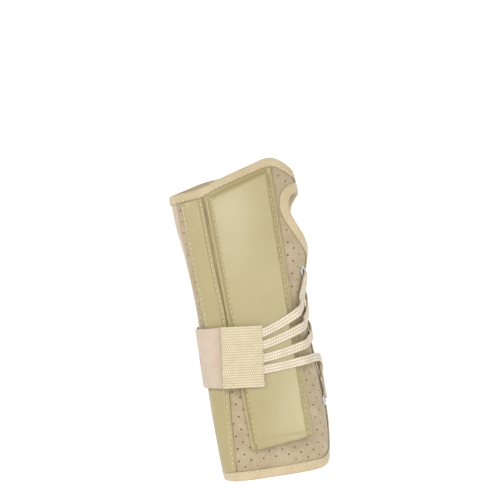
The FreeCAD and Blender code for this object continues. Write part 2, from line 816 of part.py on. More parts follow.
def tab_layer(label, lift):
    """One rectangle of webbing, flat over the pockets, turned a little from the splint's length."""
    body = doc.addObject("PartDesign::Body", label)
    plane = [f for f in body.Origin.OriginFeatures if f.Role == "XZ_Plane"][0]
    sketch = body.newObject("Sketcher::SketchObject", label + "_outline")
    sketch.AttachmentSupport = [(plane, "")]
    sketch.MapMode = "FlatFace"
    wide, tall = dim("tab_width") / 2, dim("tab_height") / 2
    corners = [Vector(-wide, -tall, 0), Vector(wide, -tall, 0), Vector(wide, tall, 0), Vector(-wide, tall, 0)]
    for i in range(4):
        sketch.addGeometry(Part.LineSegment(corners[i], corners[(i + 1) % 4]), False)
    for i in range(4):
        sketch.addConstraint(Sketcher.Constraint("Coincident", i, 2, (i + 1) % 4, 1))
    for i in (0, 2):
        sketch.addConstraint(Sketcher.Constraint("Horizontal", i))
    for i in (1, 3):
        sketch.addConstraint(Sketcher.Constraint("Vertical", i))
    sketch.addConstraint(Sketcher.Constraint("Symmetric", 0, 1, 1, 2, -1, 1))
    index = sketch.addConstraint(Sketcher.Constraint("DistanceX", 0, 1, 0, 2, 2 * wide))
    sketch.setExpression("Constraints[%d]" % index, "dimensions.tab_width")
    index = sketch.addConstraint(Sketcher.Constraint("DistanceY", 1, 1, 1, 2, 2 * tall))
    sketch.setExpression("Constraints[%d]" % index, "dimensions.tab_height")
    pad = body.newObject("PartDesign::Pad", label + "_pad")
    pad.Profile = sketch
    pad.setExpression("Length", "dimensions.tab_layer")
    angle = (TAB_HEIGHT - STRAIGHT) / BEND
    along = Vector(0, math.sin(angle), math.cos(angle))
    back = Vector(0, math.cos(angle), -math.sin(angle))
    across = Vector(1, 0, 0) * math.cos(TAB_TURN) - along * math.sin(TAB_TURN)
    up = Vector(1, 0, 0) * math.sin(TAB_TURN) + along * math.cos(TAB_TURN)
    place = bend(TAB_X, TAB_HEIGHT, -lift)
    body.Placement = FreeCAD.Placement(FreeCAD.Matrix(across.x, back.x, up.x, place.x,
                                                      across.y, back.y, up.y, place.y,
                                                      across.z, back.z, up.z, place.z, 0, 0, 0, 1))
    body.Label = label
    nodes.append(body)
    return body


tab_layer("pull_tab_backing", TAB_LIFT)
tab_layer("pull_tab_webbing", TAB_LIFT + TAB_LAYER + dim("tab_gap"))

STRAP_TURN = math.radians(7.5)
STRAP = dim("strap_thick")
strap_zero = (s_of_x(TAB_X - dim("tab_width") / 2, TAB_HEIGHT + 1.4), TAB_HEIGHT + 1.4)
STRAP_RISE = ((0.0, 5.2), (6.0, 4.0), (12.0, 2.6), (17.0, 1.9), (22.0, 0.8), (34.0, 0.8),
              (42.0, 2.4), (70.0, 2.4))
STRAP_PALM_END = 11.0
STRAP_SIDE_END = 35.0
STRAP_END = 60.0
STRAP_GAP = 0.9


def strap_point(p, q):
    """Flat (s, height) at p along the strap from the tab and q across it."""
    s = strap_zero[0] + p * math.cos(STRAP_TURN) - q * math.sin(STRAP_TURN)
    return s, strap_zero[1] + p * math.sin(STRAP_TURN) + q * math.cos(STRAP_TURN)


def strap_piece(label, start, end, low=0.0, high=STRAP, width=dim("strap_width"), across=14):
    def place(a, b):
        p = start + a * (end - start)
        s, height = strap_point(p, (b - 0.5) * width)
        rise = smooth(STRAP_RISE, p)
        return s, height, rise + low, rise + high
    node(label, cloth(place, across, 10))


strap_piece("strap_palm_section", 1.0, STRAP_PALM_END - STRAP_GAP / 2, across=8)
strap_piece("strap_side_section", STRAP_PALM_END + STRAP_GAP / 2, STRAP_SIDE_END - STRAP_GAP / 2)
strap_piece("strap_back_section", STRAP_SIDE_END + STRAP_GAP / 2, STRAP_END)
strap_piece("hook_patch", STRAP_END - 17, STRAP_END - 2, -0.95, -0.1, dim("strap_width") - 4)


def loop_place(a, b):
    s, height = strap_point(STRAP_SIDE_END + 4 + a * (STRAP_END - STRAP_SIDE_END), (b - 0.5) * 46)
    return s, height, TAPE_GAP, TAPE_GAP + 0.8


node("loop_patch", cloth(loop_place, 12, 10))

# ---------------------------------------------------------------- laces

LACE_WIDTH = dim("lace_width")
LACE_THICK = dim("lace_thick")
TAB_EDGE = TAB_X + dim("tab_width") / 2 * math.cos(TAB_TURN)
LACE_DEPTH = -(COVER_LIFT + 0.35 + LACE_THICK / 2)
FAN_END = 27.6
SIDE_START = 28.8


def facing(angle, height):
    """Outward direction at an angle from the palm, 0, to the thumb side, 90."""
    turn = math.radians(angle)
    tilt = (height - STRAIGHT) / BEND
    out_depth = -math.cos(turn)
    return Vector(math.sin(turn), out_depth * math.cos(tilt), -out_depth * math.sin(tilt))


def in_air(x, height, depth, angle):
    return bend(x, height, depth), facing(angle, height)


def on_cloth(*points):
    """Dense (place, face) pairs along a smooth line through (s, height, lift) points."""
    count = len(points) - 1
    pairs = []
    for i in range(count * 4 + 1):
        span = min(i // 4, count - 1)
        q = i / 4 - span
        before, start, end, after = (points[min(max(span + k, 0), count)] for k in (-1, 0, 1, 2))
        spot = []
        for a, b, c, d in zip(before, start, end, after):
            spot.append(b + 0.5 * q * (c - a + q * (2 * a - 5 * b + 4 * c - d + q * (3 * b - a - 3 * c + d))))
        pairs.append((on_body(*spot), outward(spot[0], spot[1])))
    return pairs


# Each strand of the fan: height at the tab's edge, at mid length, and at the pocket's edge.
FAN = ((88.6, 92.6, 98.6), (81.2, 84.2, 88.6), (73.7, 75.2, 78.0), (67.0, 67.5, 68.8))
for number, (low, middle, high) in enumerate(FAN, 1):
    edge = TAB_EDGE + (low - TAB_HEIGHT) * math.sin(TAB_TURN) + 1.5
    points = []
    for i in range(9):
        q = i / 8
        x = edge + (FAN_END - edge) * q
        height = low * (1 - q)**2 + (2 * middle - (low + high) / 2) * 2 * q * (1 - q) + high * q**2
        points.append(in_air(x, height, LACE_DEPTH, 0))
    node("fan_strand_%d" % number, lace(points, LACE_WIDTH, LACE_THICK))


def over_edge(height, rise):
    """A strand's way from the pocket's edge onto the thumb side, rising by rise."""
    return [
        in_air(SIDE_START, height, -4.2, 66),
        in_air(SIDE_START + 1.4, height + rise * 0.3, -0.8, 72),
        in_air(SIDE_START + 2.5, height + rise * 0.62, 2.6, 74),
    ]


FLAP_S = -SLIT - EYELET_INSET
OUTSIDE = 2.0
OVER_TAPE = 2.3
INSIDE = -PANEL - 2.4

LACE_RUNS = {
    "upper_lace_run": over_edge(99.6, 6.0) + on_cloth(
        (15.0, 107.5, 2.2), (12.5, 113.0, 2.0), (11.0, 119.0, 2.6), (EYELET_INSET, 125.3, 2.7)),
    "upper_lace_crossing": over_edge(89.2, 3.4) + on_cloth(
        (14.5, 94.0, 2.2), (5.0, 101.5, OVER_TAPE), (-4.0, 109.5, 2.5), (-12.5, 117.0, OVER_TAPE),
        (FLAP_S + 0.5, 122.8, OUTSIDE)),
    "middle_lace_crossing": over_edge(78.4, 2.4) + on_cloth(
        (14.5, 81.4, 2.2), (5.0, 85.2, OVER_TAPE), (-4.0, 90.0, 2.5), (-12.5, 95.0, OVER_TAPE),
        (FLAP_S, 98.3, OUTSIDE)),
    "lower_lace_crossing": over_edge(68.9, 0.6) + on_cloth(
        (14.5, 69.4, 2.4), (6.0, 68.8, 3.6), (-1.0, 66.2, 4.2), (-8.0, 60.0, 4.0), (-15.0, 52.0, 2.8),
        (FLAP_S, 45.6, OUTSIDE)),
    "lower_lace_run": on_cloth(
        (EYELET_INSET, 41.0, OUTSIDE), (9.0, 48.0, 2.0), (5.0, 55.5, OVER_TAPE), (0.0, 61.5, 2.4),
        (-7.0, 67.0, 2.4), (-13.5, 71.2, OVER_TAPE), (FLAP_S, 74.2, OUTSIDE)),
    "upper_inner_crossing": on_cloth(
        (EYELET_INSET, 124.8, INSIDE), (-4.5, 124.4, INSIDE), (FLAP_S, 122.6, INSIDE)),
    "lower_inner_crossing": on_cloth(
        (EYELET_INSET, 41.5, INSIDE), (-4.5, 44.4, INSIDE), (FLAP_S, 46.0, INSIDE)),
    "flap_inner_run": on_cloth((FLAP_S, 98.0, INSIDE), (FLAP_S - 0.3, 86.0, INSIDE), (FLAP_S, 74.0, INSIDE)),
}
for label, points in LACE_RUNS.items():
    node(label, lace(points, LACE_WIDTH, LACE_THICK))

# ---------------------------------------------------------------- check and write

doc.recompute()
for item in doc.Objects:
    if "Invalid" in item.State or "Error" in item.State:
        raise RuntimeError(item.Name + " could not be made")
for item in nodes:
    if item.Shape.isNull() or not item.Shape.isValid():
        raise RuntimeError(item.Label + " has no valid shape")
for item in nodes:
    item.Shape.exportStep("parts/%s.step" % item.Label)
    print(item.Label, len(item.Shape.Solids), round(item.Shape.Volume))
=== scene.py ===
from math import cos, pi, radians, sin

import bpy
import numpy as np
from mathutils import Matrix, Vector
from mathutils.geometry import delaunay_2d_cdt


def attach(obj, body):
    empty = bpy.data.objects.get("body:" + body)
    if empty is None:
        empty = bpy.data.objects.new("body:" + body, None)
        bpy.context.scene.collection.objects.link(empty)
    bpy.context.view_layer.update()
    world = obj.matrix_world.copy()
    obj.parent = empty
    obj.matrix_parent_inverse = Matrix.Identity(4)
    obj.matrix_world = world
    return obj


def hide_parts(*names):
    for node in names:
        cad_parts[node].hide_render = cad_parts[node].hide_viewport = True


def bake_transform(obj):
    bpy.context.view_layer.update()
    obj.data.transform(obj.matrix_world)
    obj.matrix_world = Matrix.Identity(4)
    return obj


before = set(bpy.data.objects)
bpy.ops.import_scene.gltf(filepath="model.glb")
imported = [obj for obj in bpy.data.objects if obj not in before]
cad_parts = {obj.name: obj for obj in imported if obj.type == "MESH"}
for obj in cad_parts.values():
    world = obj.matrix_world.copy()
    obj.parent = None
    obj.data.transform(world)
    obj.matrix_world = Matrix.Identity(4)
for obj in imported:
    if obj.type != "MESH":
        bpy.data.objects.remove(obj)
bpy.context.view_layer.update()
MM = 0.001

# ---- the body's shape, in mm
# Places on the cloth are (s, height, lift): distance round the outline from the thumb side over
# the palm, height along the forearm from the hem, and lift above the panels' outer face.

LENGTH, BEND, STRAIGHT, PANEL = 200.0, 700.0, 40.0, 3.0
SLIT, SEAM, BUTT, CORNER = 9.0, 0.3, 0.12, 24.0
ULNAR_HALF = ((0, 34.0), (20, 35.4), (45, 36.4), (75, 36.0), (110, 35.8), (135, 36.8),
              (152, 38.6), (172, 40.8), (200, 41.0))
RADIAL_HALF = ((0, 33.0), (25, 35.6), (45, 35.8), (70, 33.6), (95, 32.2), (112, 33.4),
               (125, 36.2), (137, 39.4), (150, 41.4), (165, 41.0), (185, 39.2), (200, 38.0))
DEPTH = ((0, 54.0), (45, 50.0), (100, 43.0), (125, 40.5), (160, 38.0), (200, 35.0))
PALM_POWER, BACK_POWER = 3.4, 2.4
TOP_EDGE = ((0.0, 189.5), (0.05, 193.0), (0.095, 198.4), (0.125, 199.6), (0.18, 196.8),
            (0.24, 193.4), (0.30, 190.0), (0.345, 187.0), (0.42, 185.6), (0.50, 187.8),
            (0.58, 193.0), (0.68, 198.5), (0.78, 198.5), (0.88, 194.0), (1.0, 189.5))
ULNAR_SEAM, DORSAL_SEAM, HINGE_X = 0.452, 0.56, 12.0
FLAP_TOP, FLAP_ROUND, WEB_BOTTOM, WEB_ROUND = 133.0, 6.0, 138.0, 6.0
HOLE_S, HOLE_HEIGHT, HOLE_WIDE, HOLE_TALL, HOLE_EGG = 2.0, 159.0, 16.5, 19.8, 0.4
THUMB_START, RUN_IN = radians(-62), 11.0
HEM_TAPE_TOP, SLIT_TAPE_TOP, SLIT_TOP, HINGE_TOP = 30.0, 104.0, 129.0, 196.0
SHARES, FINE_STEPS = 720, 1440
LEVELS = np.arange(-12.0, 216.0, 1.0)


def smooth_at(table, where):
    """A table's value at a number, by a smooth curve through its points."""
    where = min(max(where, table[0][0]), table[-1][0])
    k = max(i for i in range(len(table) - 1) if table[i][0] <= where)
    before, low, high, after = (table[min(max(k + n, 0), len(table) - 1)] for n in (-1, 0, 1, 2))
    span = high[0] - low[0]
    rise = (high[1] - low[1]) / span
    slope_low = (high[1] - before[1]) / (high[0] - before[0]) if k else rise
    slope_high = (after[1] - low[1]) / (after[0] - low[0]) if after is not high else rise
    q = (where - low[0]) / span
    return ((2 * q**3 - 3 * q**2 + 1) * low[1] + (q**3 - 2 * q**2 + q) * span * slope_low
            + (3 * q**2 - 2 * q**3) * high[1] + (q**3 - q**2) * span * slope_high)


def smooth(table, where):
    """smooth_at for arrays."""
    return np.vectorize(lambda value: smooth_at(table, value))(where)


def outline_at(height):
    """(x, depth) of the body's outline at SHARES + 1 even steps round it, and its girth."""
    ulnar, radial = smooth_at(ULNAR_HALF, height), smooth_at(RADIAL_HALF, height)
    half_depth, half_width = smooth_at(DEPTH, height) / 2, (ulnar + radial) / 2
    turn = np.linspace(0, 2 * pi, FINE_STEPS + 1)
    power = np.where(turn <= pi, PALM_POWER, BACK_POWER)
    reach = (np.abs(np.cos(turn) / half_width)**power
             + np.abs(np.sin(turn) / half_depth)**power)**(-1 / power)
    x = (radial - ulnar) / 2 + reach * np.cos(turn)
    depth = half_depth - reach * np.sin(turn)
    along = np.concatenate([[0], np.cumsum(np.hypot(np.diff(x), np.diff(depth)))])
    even = np.linspace(0, along[-1], SHARES + 1)
    return np.interp(even, along, x), np.interp(even, along, depth), along[-1]


rows = [outline_at(level) for level in LEVELS]
OUTLINE_X = np.array([row[0] for row in rows])
OUTLINE_DEPTH = np.array([row[1] for row in rows])
GIRTHS = np.array([row[2] for row in rows])


def around(table):
    """Change from step to step round the closed outlines, centred on each step."""
    ring = table[:, :-1]
    change = np.roll(ring, -1, axis=1) - np.roll(ring, 1, axis=1)
    return np.concatenate([change, change[:, :1]], axis=1)


ALONG_X, ALONG_DEPTH = around(OUTLINE_X), around(OUTLINE_DEPTH)
STRIDE = np.hypot(ALONG_X, ALONG_DEPTH)
OUT_X, OUT_DEPTH = -ALONG_DEPTH / STRIDE, ALONG_X / STRIDE


def girth(height):
    return np.interp(height, LEVELS, GIRTHS)


def look_up(table, s, height):
    """A table's value at (s, height), between its four nearest places."""
    share = (np.asarray(s) / girth(height)) % 1.0 * SHARES
    level = np.clip(np.asarray(height) - LEVELS[0], 0, len(LEVELS) - 1.001)
    i, k = level.astype(int), np.minimum(share.astype(int), SHARES - 1)
    u, v = level - i, share - k
    low = table[i, k] * (1 - v) + table[i, k + 1] * v
    high = table[i + 1, k] * (1 - v) + table[i + 1, k + 1] * v
    return low * (1 - u) + high * u


def bend(x, height, depth):
    """Place of x and a depth behind the palm face; the length runs on a circle in YZ."""
    angle = (np.asarray(height) - STRAIGHT) / BEND
    y = BEND - (BEND - depth) * np.cos(angle) - HEM_CENTRE[0]
    z = (BEND - depth) * np.sin(angle) - HEM_CENTRE[1]
    return np.stack(np.broadcast_arrays(x, y, z), axis=-1)


HEM_CENTRE = (0.0, 0.0)  # a first value, for bend to find the real one with
HEM_CENTRE = tuple(bend(0.0, 0.0, smooth_at(DEPTH, 0) / 2)[1:])


def body(s, height, lift):
    """Place of (s, height, lift) on the body."""
    s, height, lift = np.broadcast_arrays(np.asarray(s, float), np.asarray(height, float), lift)
    x = look_up(OUTLINE_X, s, height) + look_up(OUT_X, s, height) * lift
    depth = look_up(OUTLINE_DEPTH, s, height) + look_up(OUT_DEPTH, s, height) * lift
    return bend(x, height, depth)


def outward(s, height):
    """Unit outward direction of the cloth at (s, height)."""
    away = body(s, height, 1.0) - body(s, height, 0.0)
    return away / np.linalg.norm(away, axis=-1, keepdims=True)


def s_of_x(x, height, back=False):
    """Distance round the outline to x, on the palm face or on the back."""
    xs, _, whole = outline_at(height)
    half = SHARES // 2
    share = np.interp(x, xs[half:], np.arange(half, SHARES + 1)) if back else np.interp(
        -x, -xs[:half + 1], np.arange(half + 1))
    return share / SHARES * whole


def hinge_s(height):
    """Distance round the outline to the flap's hinge line on the back."""
    return s_of_x(HINGE_X, height, back=True)


def top_edge(share):
    """Height of the hand end's slanted edge, by the share of the way round."""
    return smooth_at(TOP_EDGE, share)


def thumb_hole(turn):
    """Flat place on the thumb hole's egg-shaped edge."""
    s = HOLE_S + HOLE_WIDE * cos(turn) * (1 + HOLE_EGG * sin(turn))
    return s, HOLE_HEIGHT + HOLE_TALL * sin(turn)


def stepped(start, end, step=1.5):
    """Even numbers from start to end, about a step apart."""
    return list(np.linspace(start, end, max(2, int(abs(end - start) / step)) + 1))


# ---- the cloth's edges, flat

WEB_EDGE = HOLE_S - HOLE_WIDE
HOLE_START = thumb_hole(THUMB_START)


def quarter(count):
    """Even angles over a quarter turn."""
    return [pi / 2 * i / count for i in range(count + 1)]


def corner(edge, sign):
    """Rounded corner from a slit edge down to the hem."""
    return [(edge + sign * CORNER * (1 - cos(t)), CORNER * (1 - sin(t))) for t in quarter(20)]


def run_in():
    """The curve from the straight slit edge into the thumb hole."""
    return [(HOLE_START[0] * q * q, HOLE_START[1] - RUN_IN * (1 - q)) for q in (i / 8 for i in range(8))]


def hole_arc(start, end):
    count = max(4, int(abs(end - start) / radians(5)))
    return [thumb_hole(start + (end - start) * i / count) for i in range(count + 1)]


def hole_to_web(start):
    """Round the thumb hole from a turn, down the web's edge and round its lower corner."""
    path = hole_arc(start, pi)
    path += [(WEB_EDGE, height) for height in stepped(HOLE_HEIGHT - 2, WEB_BOTTOM + WEB_ROUND)]
    return path + [(WEB_EDGE - WEB_ROUND * (1 - cos(t)), WEB_BOTTOM + WEB_ROUND * (1 - sin(t)))
                   for t in quarter(8)[1:]]


def flap_round():
    """The flap's rounded upper corner."""
    return [(-SLIT - FLAP_ROUND * (1 - sin(t)), FLAP_TOP - FLAP_ROUND * (1 - cos(t))) for t in quarter(8)]


def top_at(share):
    """Flat place on the hand end's edge."""
    height = top_edge(share)
    return share * float(girth(height)), height


def back_s(height, shift):
    """The back's hinge line, counted the short way round, so that it is negative."""
    return hinge_s(height) - float(girth(height)) + shift


def edge_paths():
    """The bound edges, with the cloth on the left of each path."""
    low = run_in()[0][1]
    hem = [(s, 0.0) for s in stepped(hinge_s(0) - 0.8, CORNER)] + corner(0.0, 1)[::-1][1:]
    hem += [(0.0, height) for height in stepped(CORNER + 1.5, HEM_TAPE_TOP)]
    slit = [(0.0, height) for height in stepped(HEM_TAPE_TOP + 0.2, SLIT_TAPE_TOP)]
    thumb = [(0.0, height) for height in stepped(SLIT_TAPE_TOP + 0.2, low - 1)] + run_in()
    thumb += hole_to_web(THUMB_START)
    thumb += [(s, WEB_BOTTOM) for s in stepped(WEB_EDGE - WEB_ROUND - 1.5, back_s(WEB_BOTTOM, 0.5))]
    flap = [(s, FLAP_TOP) for s in stepped(back_s(FLAP_TOP, 0.7), -SLIT - FLAP_ROUND)]
    flap += flap_round()[1:]
    flap += [(-SLIT, height) for height in stepped(FLAP_TOP - FLAP_ROUND - 1.5, CORNER + 1)]
    flap += corner(-SLIT, -1) + [(s, 0.0) for s in stepped(-SLIT - CORNER - 1.5, back_s(0, 0.7))]
    top = [top_at(share) for share in stepped(0.999, 0.001, 0.005)]
    return {"distal_tape": top, "hem_tape": hem[::-1], "slit_tape": slit[::-1],
            "thumb_tape": thumb[::-1], "flap_tape": flap[::-1]}


# ---- meshes

def ripple(a, b, size, seed):
    """Smooth unevenness between about -1 and 1, the same each run."""
    pick = np.random.default_rng(seed)
    total = 0.0
    turns, phases = pick.uniform(0, 6.28, 6), pick.uniform(0, 6.28, 6)
    for turn, phase, stretch in zip(turns, phases, pick.uniform(0.6, 1.7, 6)):
        across = np.asarray(a) * cos(turn) + np.asarray(b) * sin(turn)
        total = total + np.sin(across * 6.28 / (size * stretch) + phase)
    return total / 3


def hump(value, centre, width):
    """1 at the centre, falling away to nothing on a bell curve."""
    return np.exp(-((value - centre) / width)**2)


def eased(value, low, high):
    """0 below low, 1 above high, and a smooth step between."""
    q = np.clip((value - low) / (high - low), 0, 1)
    return q * q * (3 - 2 * q)


def make(name, places, faces, material, rides=None, stands_for=(), slot=None):
    """A piece from places in mm and faces."""
    data = bpy.data.meshes.new(name)
    data.from_pydata((np.asarray(places).reshape(-1, 3) * MM).tolist(), [],
                     [list(map(int, face)) for face in faces])
    data.validate()
    data.update()
    data.polygons.foreach_set("use_smooth", [True] * len(data.polygons))
    data.materials.append(material)
    piece = bpy.data.objects.new(name, data)
    bpy.context.scene.collection.objects.link(piece)
    if rides:
        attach(piece, rides)
    if stands_for:
        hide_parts(*stands_for)
    return piece


def quads(count_a, count_b, start=0, flip=False, wrap=False):
    """Faces of a grid of count_a by count_b points; wrap joins the last column to the first."""
    a, b = np.meshgrid(np.arange(count_a - 1), np.arange(count_b if wrap else count_b - 1), indexing="ij")
    c = (b + 1) % count_b
    faces = np.stack([a * count_b + b, (a + 1) * count_b + b, (a + 1) * count_b + c, a * count_b + c], -1)
    faces = faces.reshape(-1, 4) + start
    return faces[:, ::-1] if flip else faces


def grid(first, second):
    """Two grids of numbers, each from (start, end, count)."""
    return np.meshgrid(np.linspace(*first), np.linspace(*second), indexing="ij")


def slab(outer, inner):
    """Places and faces of a closed sheet between two grids of places."""
    count_a, count_b = outer.shape[:2]
    size = count_a * count_b
    index = np.arange(size).reshape(count_a, count_b)
    rim = np.concatenate([index[0, :], index[1:, -1], index[-1, -2::-1], index[-2:0:-1, 0]])
    after = np.roll(rim, -1)
    walls = np.stack([rim, after, after + size, rim + size], -1)
    places = np.concatenate([outer.reshape(-1, 3), inner.reshape(-1, 3)])
    return places, np.concatenate([quads(count_a, count_b), quads(count_a, count_b, size, flip=True), walls])


def tube(rings):
    """Places and faces of a closed loft through rings (n, m, 3), with capped ends."""
    count_a, count_b = rings.shape[:2]
    faces = [list(f) for f in quads(count_a, count_b, wrap=True)]
    faces.append(list(range(count_b)))
    faces.append(list(range(count_a * count_b - 1, (count_a - 1) * count_b - 1, -1)))
    return rings.reshape(-1, 3), faces


def joined(parts):
    """One (places, faces) from many."""
    places, faces, start = [], [], 0
    for part_places, part_faces in parts:
        places.append(part_places)
        faces += [[i + start for i in f] for f in part_faces]
        start += len(part_places)
    return np.concatenate(places), faces


def unit(v):
    """Vectors at length 1."""
    return v / np.maximum(np.linalg.norm(v, axis=-1, keepdims=True), 1e-9)


STITCH, STITCH_PITCH = 2.3, 3.3
THIRDS = (0, 2.1, 4.2)
CAPSULE = [(-1.0, 0.35), (-0.8, 0.8), (-0.3, 1.0), (0.3, 1.0), (0.8, 0.8), (1.0, 0.35)]


def capsules(centres, directions, ups, length, radius):
    """Short rounded threads, one at each centre."""
    sides = unit(np.cross(directions, ups))
    ups = np.cross(sides, directions)
    parts = []
    turns = np.linspace(0, 2 * pi, 7)[:-1]
    for centre, ahead, side, up in zip(centres, directions, sides, ups):
        rings = [[centre + ahead * t * length / 2 + (side * cos(a) + up * sin(a)) * radius * r
                  for a in turns] for t, r in CAPSULE]
        parts.append(tube(np.array(rings)))
    return joined(parts)


def resample(places, step):
    """The same line with its places one step apart."""
    places = np.asarray(places, float)
    along = np.concatenate([[0], np.cumsum(np.linalg.norm(np.diff(places, axis=0), axis=1))])
    even = np.arange(step / 2, along[-1], step)
    return np.stack([np.interp(even, along, places[:, k]) for k in range(places.shape[1])], -1)


def stitches(places, ups, radius=0.27):
    """Stitches that follow a line of places."""
    return capsules(places, unit(np.gradient(places, axis=0)), ups, STITCH, radius)


def stitch_line(path, lift):
    """A seam's stitches along flat (s, height) places, at one lift."""
    mids = resample(path, STITCH_PITCH)
    return stitches(body(mids[:, 0], mids[:, 1], lift), outward(mids[:, 0], mids[:, 1]))


# ---- materials

# HOLLOW_SHADE sets how dark the painted shade in a texture's fine hollows gets.
ROUGH_SPREAD, HOLLOW_SHADE = 0.08, 0.55
PERIOD = 0.314  # a wave texture's scale for a period of 1 on the flat cloth


def link(tree, out, into):
    tree.links.new(out, into)


def texture(tree, where, kind, scale, stretch=(1, 1, 1), **values):
    """A texture node read at where, stretched along its axes."""
    mapping = tree.nodes.new("ShaderNodeMapping")
    mapping.inputs["Scale"].default_value = stretch
    link(tree, where, mapping.inputs["Vector"])
    node = tree.nodes.new("ShaderNodeTex" + kind)
    node.inputs["Scale"].default_value = scale
    for key, value in values.items():
        if key in node.inputs:
            node.inputs[key].default_value = value
        else:
            setattr(node, key, value)
    link(tree, mapping.outputs["Vector"], node.inputs["Vector"])
    return node.outputs["Fac"] if "Fac" in node.outputs else node.outputs["Distance"]


def ramp(tree, value, low, high, out_low=0.0, out_high=1.0):
    """A value's range mapped to another."""
    node = tree.nodes.new("ShaderNodeMapRange")
    numbers = (low, high, out_low, out_high)
    for name, number in zip(("From Min", "From Max", "To Min", "To Max"), numbers):
        node.inputs[name].default_value = number
    link(tree, value, node.inputs["Value"])
    return node.outputs["Result"]


def maths(tree, action, first, second):
    """A Math node on two sockets or numbers."""
    node = tree.nodes.new("ShaderNodeMath")
    node.operation = action
    for socket, value in zip(node.inputs, (first, second)):
        if isinstance(value, (int, float)):
            socket.default_value = value
        else:
            link(tree, value, socket)
    return node.outputs[0]


def mixed(tree, factor, first, second):
    """A mix of two colours, from sockets or tuples."""
    node = tree.nodes.new("ShaderNodeMix")
    node.data_type = "RGBA"
    link(tree, factor, node.inputs["Factor"])
    for socket, value in ((node.inputs[6], first), (node.inputs[7], second)):
        if isinstance(value, tuple):
            socket.default_value = (*value, 1)
        else:
            link(tree, value, socket)
    return node.outputs[2]


def surface(name, light, dark, rough, build, **sockets):
    """A material. build(tree, object place, flat place) gives blotches, a painted shade factor for its fine
    hollows, height and its depth.
    """
    material = bpy.data.materials.new(name)
    material.use_nodes = True
    tree = material.node_tree
    shader = tree.nodes["Principled BSDF"]
    spots = tree.nodes.new("ShaderNodeTexCoord")
    blotches, shade, height, depth = build(tree, spots.outputs["Object"], spots.outputs["UV"])
    colour = mixed(tree, blotches, dark, light)
    # Painted shade: where the shade factor is low, the colour falls to the dark colour times HOLLOW_SHADE, in
    # place of shadow in the hollows.
    hollow_shade_colour = tuple(c * HOLLOW_SHADE for c in dark)
    link(tree, mixed(tree, shade, hollow_shade_colour, colour), shader.inputs["Base Color"])
    gloss = ramp(tree, blotches, 0, 1, rough + ROUGH_SPREAD, rough - ROUGH_SPREAD)
    link(tree, gloss, shader.inputs["Roughness"])
    bump = tree.nodes.new("ShaderNodeBump")
    bump.inputs["Strength"].default_value = 1.0
    bump.inputs["Distance"].default_value = depth
    link(tree, height, bump.inputs["Height"])
    link(tree, bump.outputs["Normal"], shader.inputs["Normal"])
    for key, value in sockets.items():
        shader.inputs[key.replace("_", " ")].default_value = value
    return material


def blotchy(tree, place, scale, detail, low=0.3):
    """Soft patches between 0 and 1."""
    return ramp(tree, texture(tree, place, "Noise", scale, Detail=detail), low, 1 - low)


def knit(tree, place, flat):
    """Short soft nap over a knit face."""
    blotches = blotchy(tree, place, 90, 4.0, 0.35)
    fine = texture(tree, place, "Noise", 1500, Detail=3.0, Roughness=0.7)
    cells = texture(tree, place, "Voronoi", 1700)
    height = maths(tree, "ADD", fine, cells)
    # The second value is painted shade, darker where the fine nap noise, which is also the bump height, is
    # low.
    return blotches, ramp(tree, fine, 0.28, 0.5, 0.55, 1.0), height, 0.00022


def grain(tree, place, flat):
    """Fine pores and creases of leatherette."""
    blotches = blotchy(tree, place, 28, 3.0)
    pores = texture(tree, place, "Voronoi", 1300, feature="DISTANCE_TO_EDGE")
    creases = texture(tree, place, "Noise", 420, Detail=4.0)
    height = maths(tree, "ADD", ramp(tree, pores, 0, 0.25), maths(tree, "MULTIPLY", creases, 0.8))
    # The second value is painted shade in the pores, darker near the cell edges where the bump dips.
    return blotches, ramp(tree, pores, 0.0, 0.12, 0.86, 1.0), height, 0.00005


def ribs(across, along):
    """Woven ribs, with periods in mm across and along the flat cloth."""
    def build(tree, place, flat):
        blotches = blotchy(tree, place, 120, 4.0)
        first = texture(tree, flat, "Wave", PERIOD / across, bands_direction="X", Distortion=0.4)
        second = texture(tree, flat, "Wave", PERIOD / along, bands_direction="Y", Distortion=0.4)
        fuzz = texture(tree, place, "Noise", 2500, Detail=2.0)
        height = maths(tree, "ADD", maths(tree, "MULTIPLY", first, second),
                       maths(tree, "MULTIPLY", fuzz, 0.5))
        # The second value is painted shade, darker in the low valleys between the ribs.
        return blotches, ramp(tree, height, 0.2, 0.75, 0.6, 1.0), height, 0.00016
    return build


def plaited(across, along, valley_shade):
    """Thick woven or plaited yarns, with painted shade in the valleys where they cross; periods in mm on the
    flat cloth.
    """
    def build(tree, place, flat):
        blotches = blotchy(tree, place, 170, 5.0)
        rows = texture(tree, flat, "Wave", PERIOD / along, bands_direction="Y", Distortion=0.5, Detail=1.0)
        lanes = texture(tree, flat, "Wave", PERIOD / across, bands_direction="X", Distortion=0.3)
        # Painted shade: the gloom value sets how dark the valleys between rows and lanes get; the same
        # valleys raise the bump.
        valleys = maths(tree, "MULTIPLY", ramp(tree, rows, 0.0, 0.45, valley_shade, 1.0),
                        ramp(tree, lanes, 0.0, 0.5, valley_shade, 1.0))
        fuzz = texture(tree, place, "Noise", 3200, Detail=3.0, Roughness=0.75)
        shade = maths(tree, "MULTIPLY", valleys, ramp(tree, fuzz, 0.25, 0.55, 0.85, 1.0))
        return blotches, shade, maths(tree, "ADD", valleys, maths(tree, "MULTIPLY", fuzz, 0.5)), 0.00018
    return build


def fibres(tree, place, flat):
    """Loose fuzzy fibres."""
    blotches = blotchy(tree, place, 260, 5.0)
    fuzz = texture(tree, place, "Noise", 3800, Detail=3.0, Roughness=0.75)
    # The second value is painted shade, darker where the fuzz, which is also the bump height, is low.
    return blotches, ramp(tree, fuzz, 0.25, 0.55, 0.72, 1.0), fuzz, 0.00012


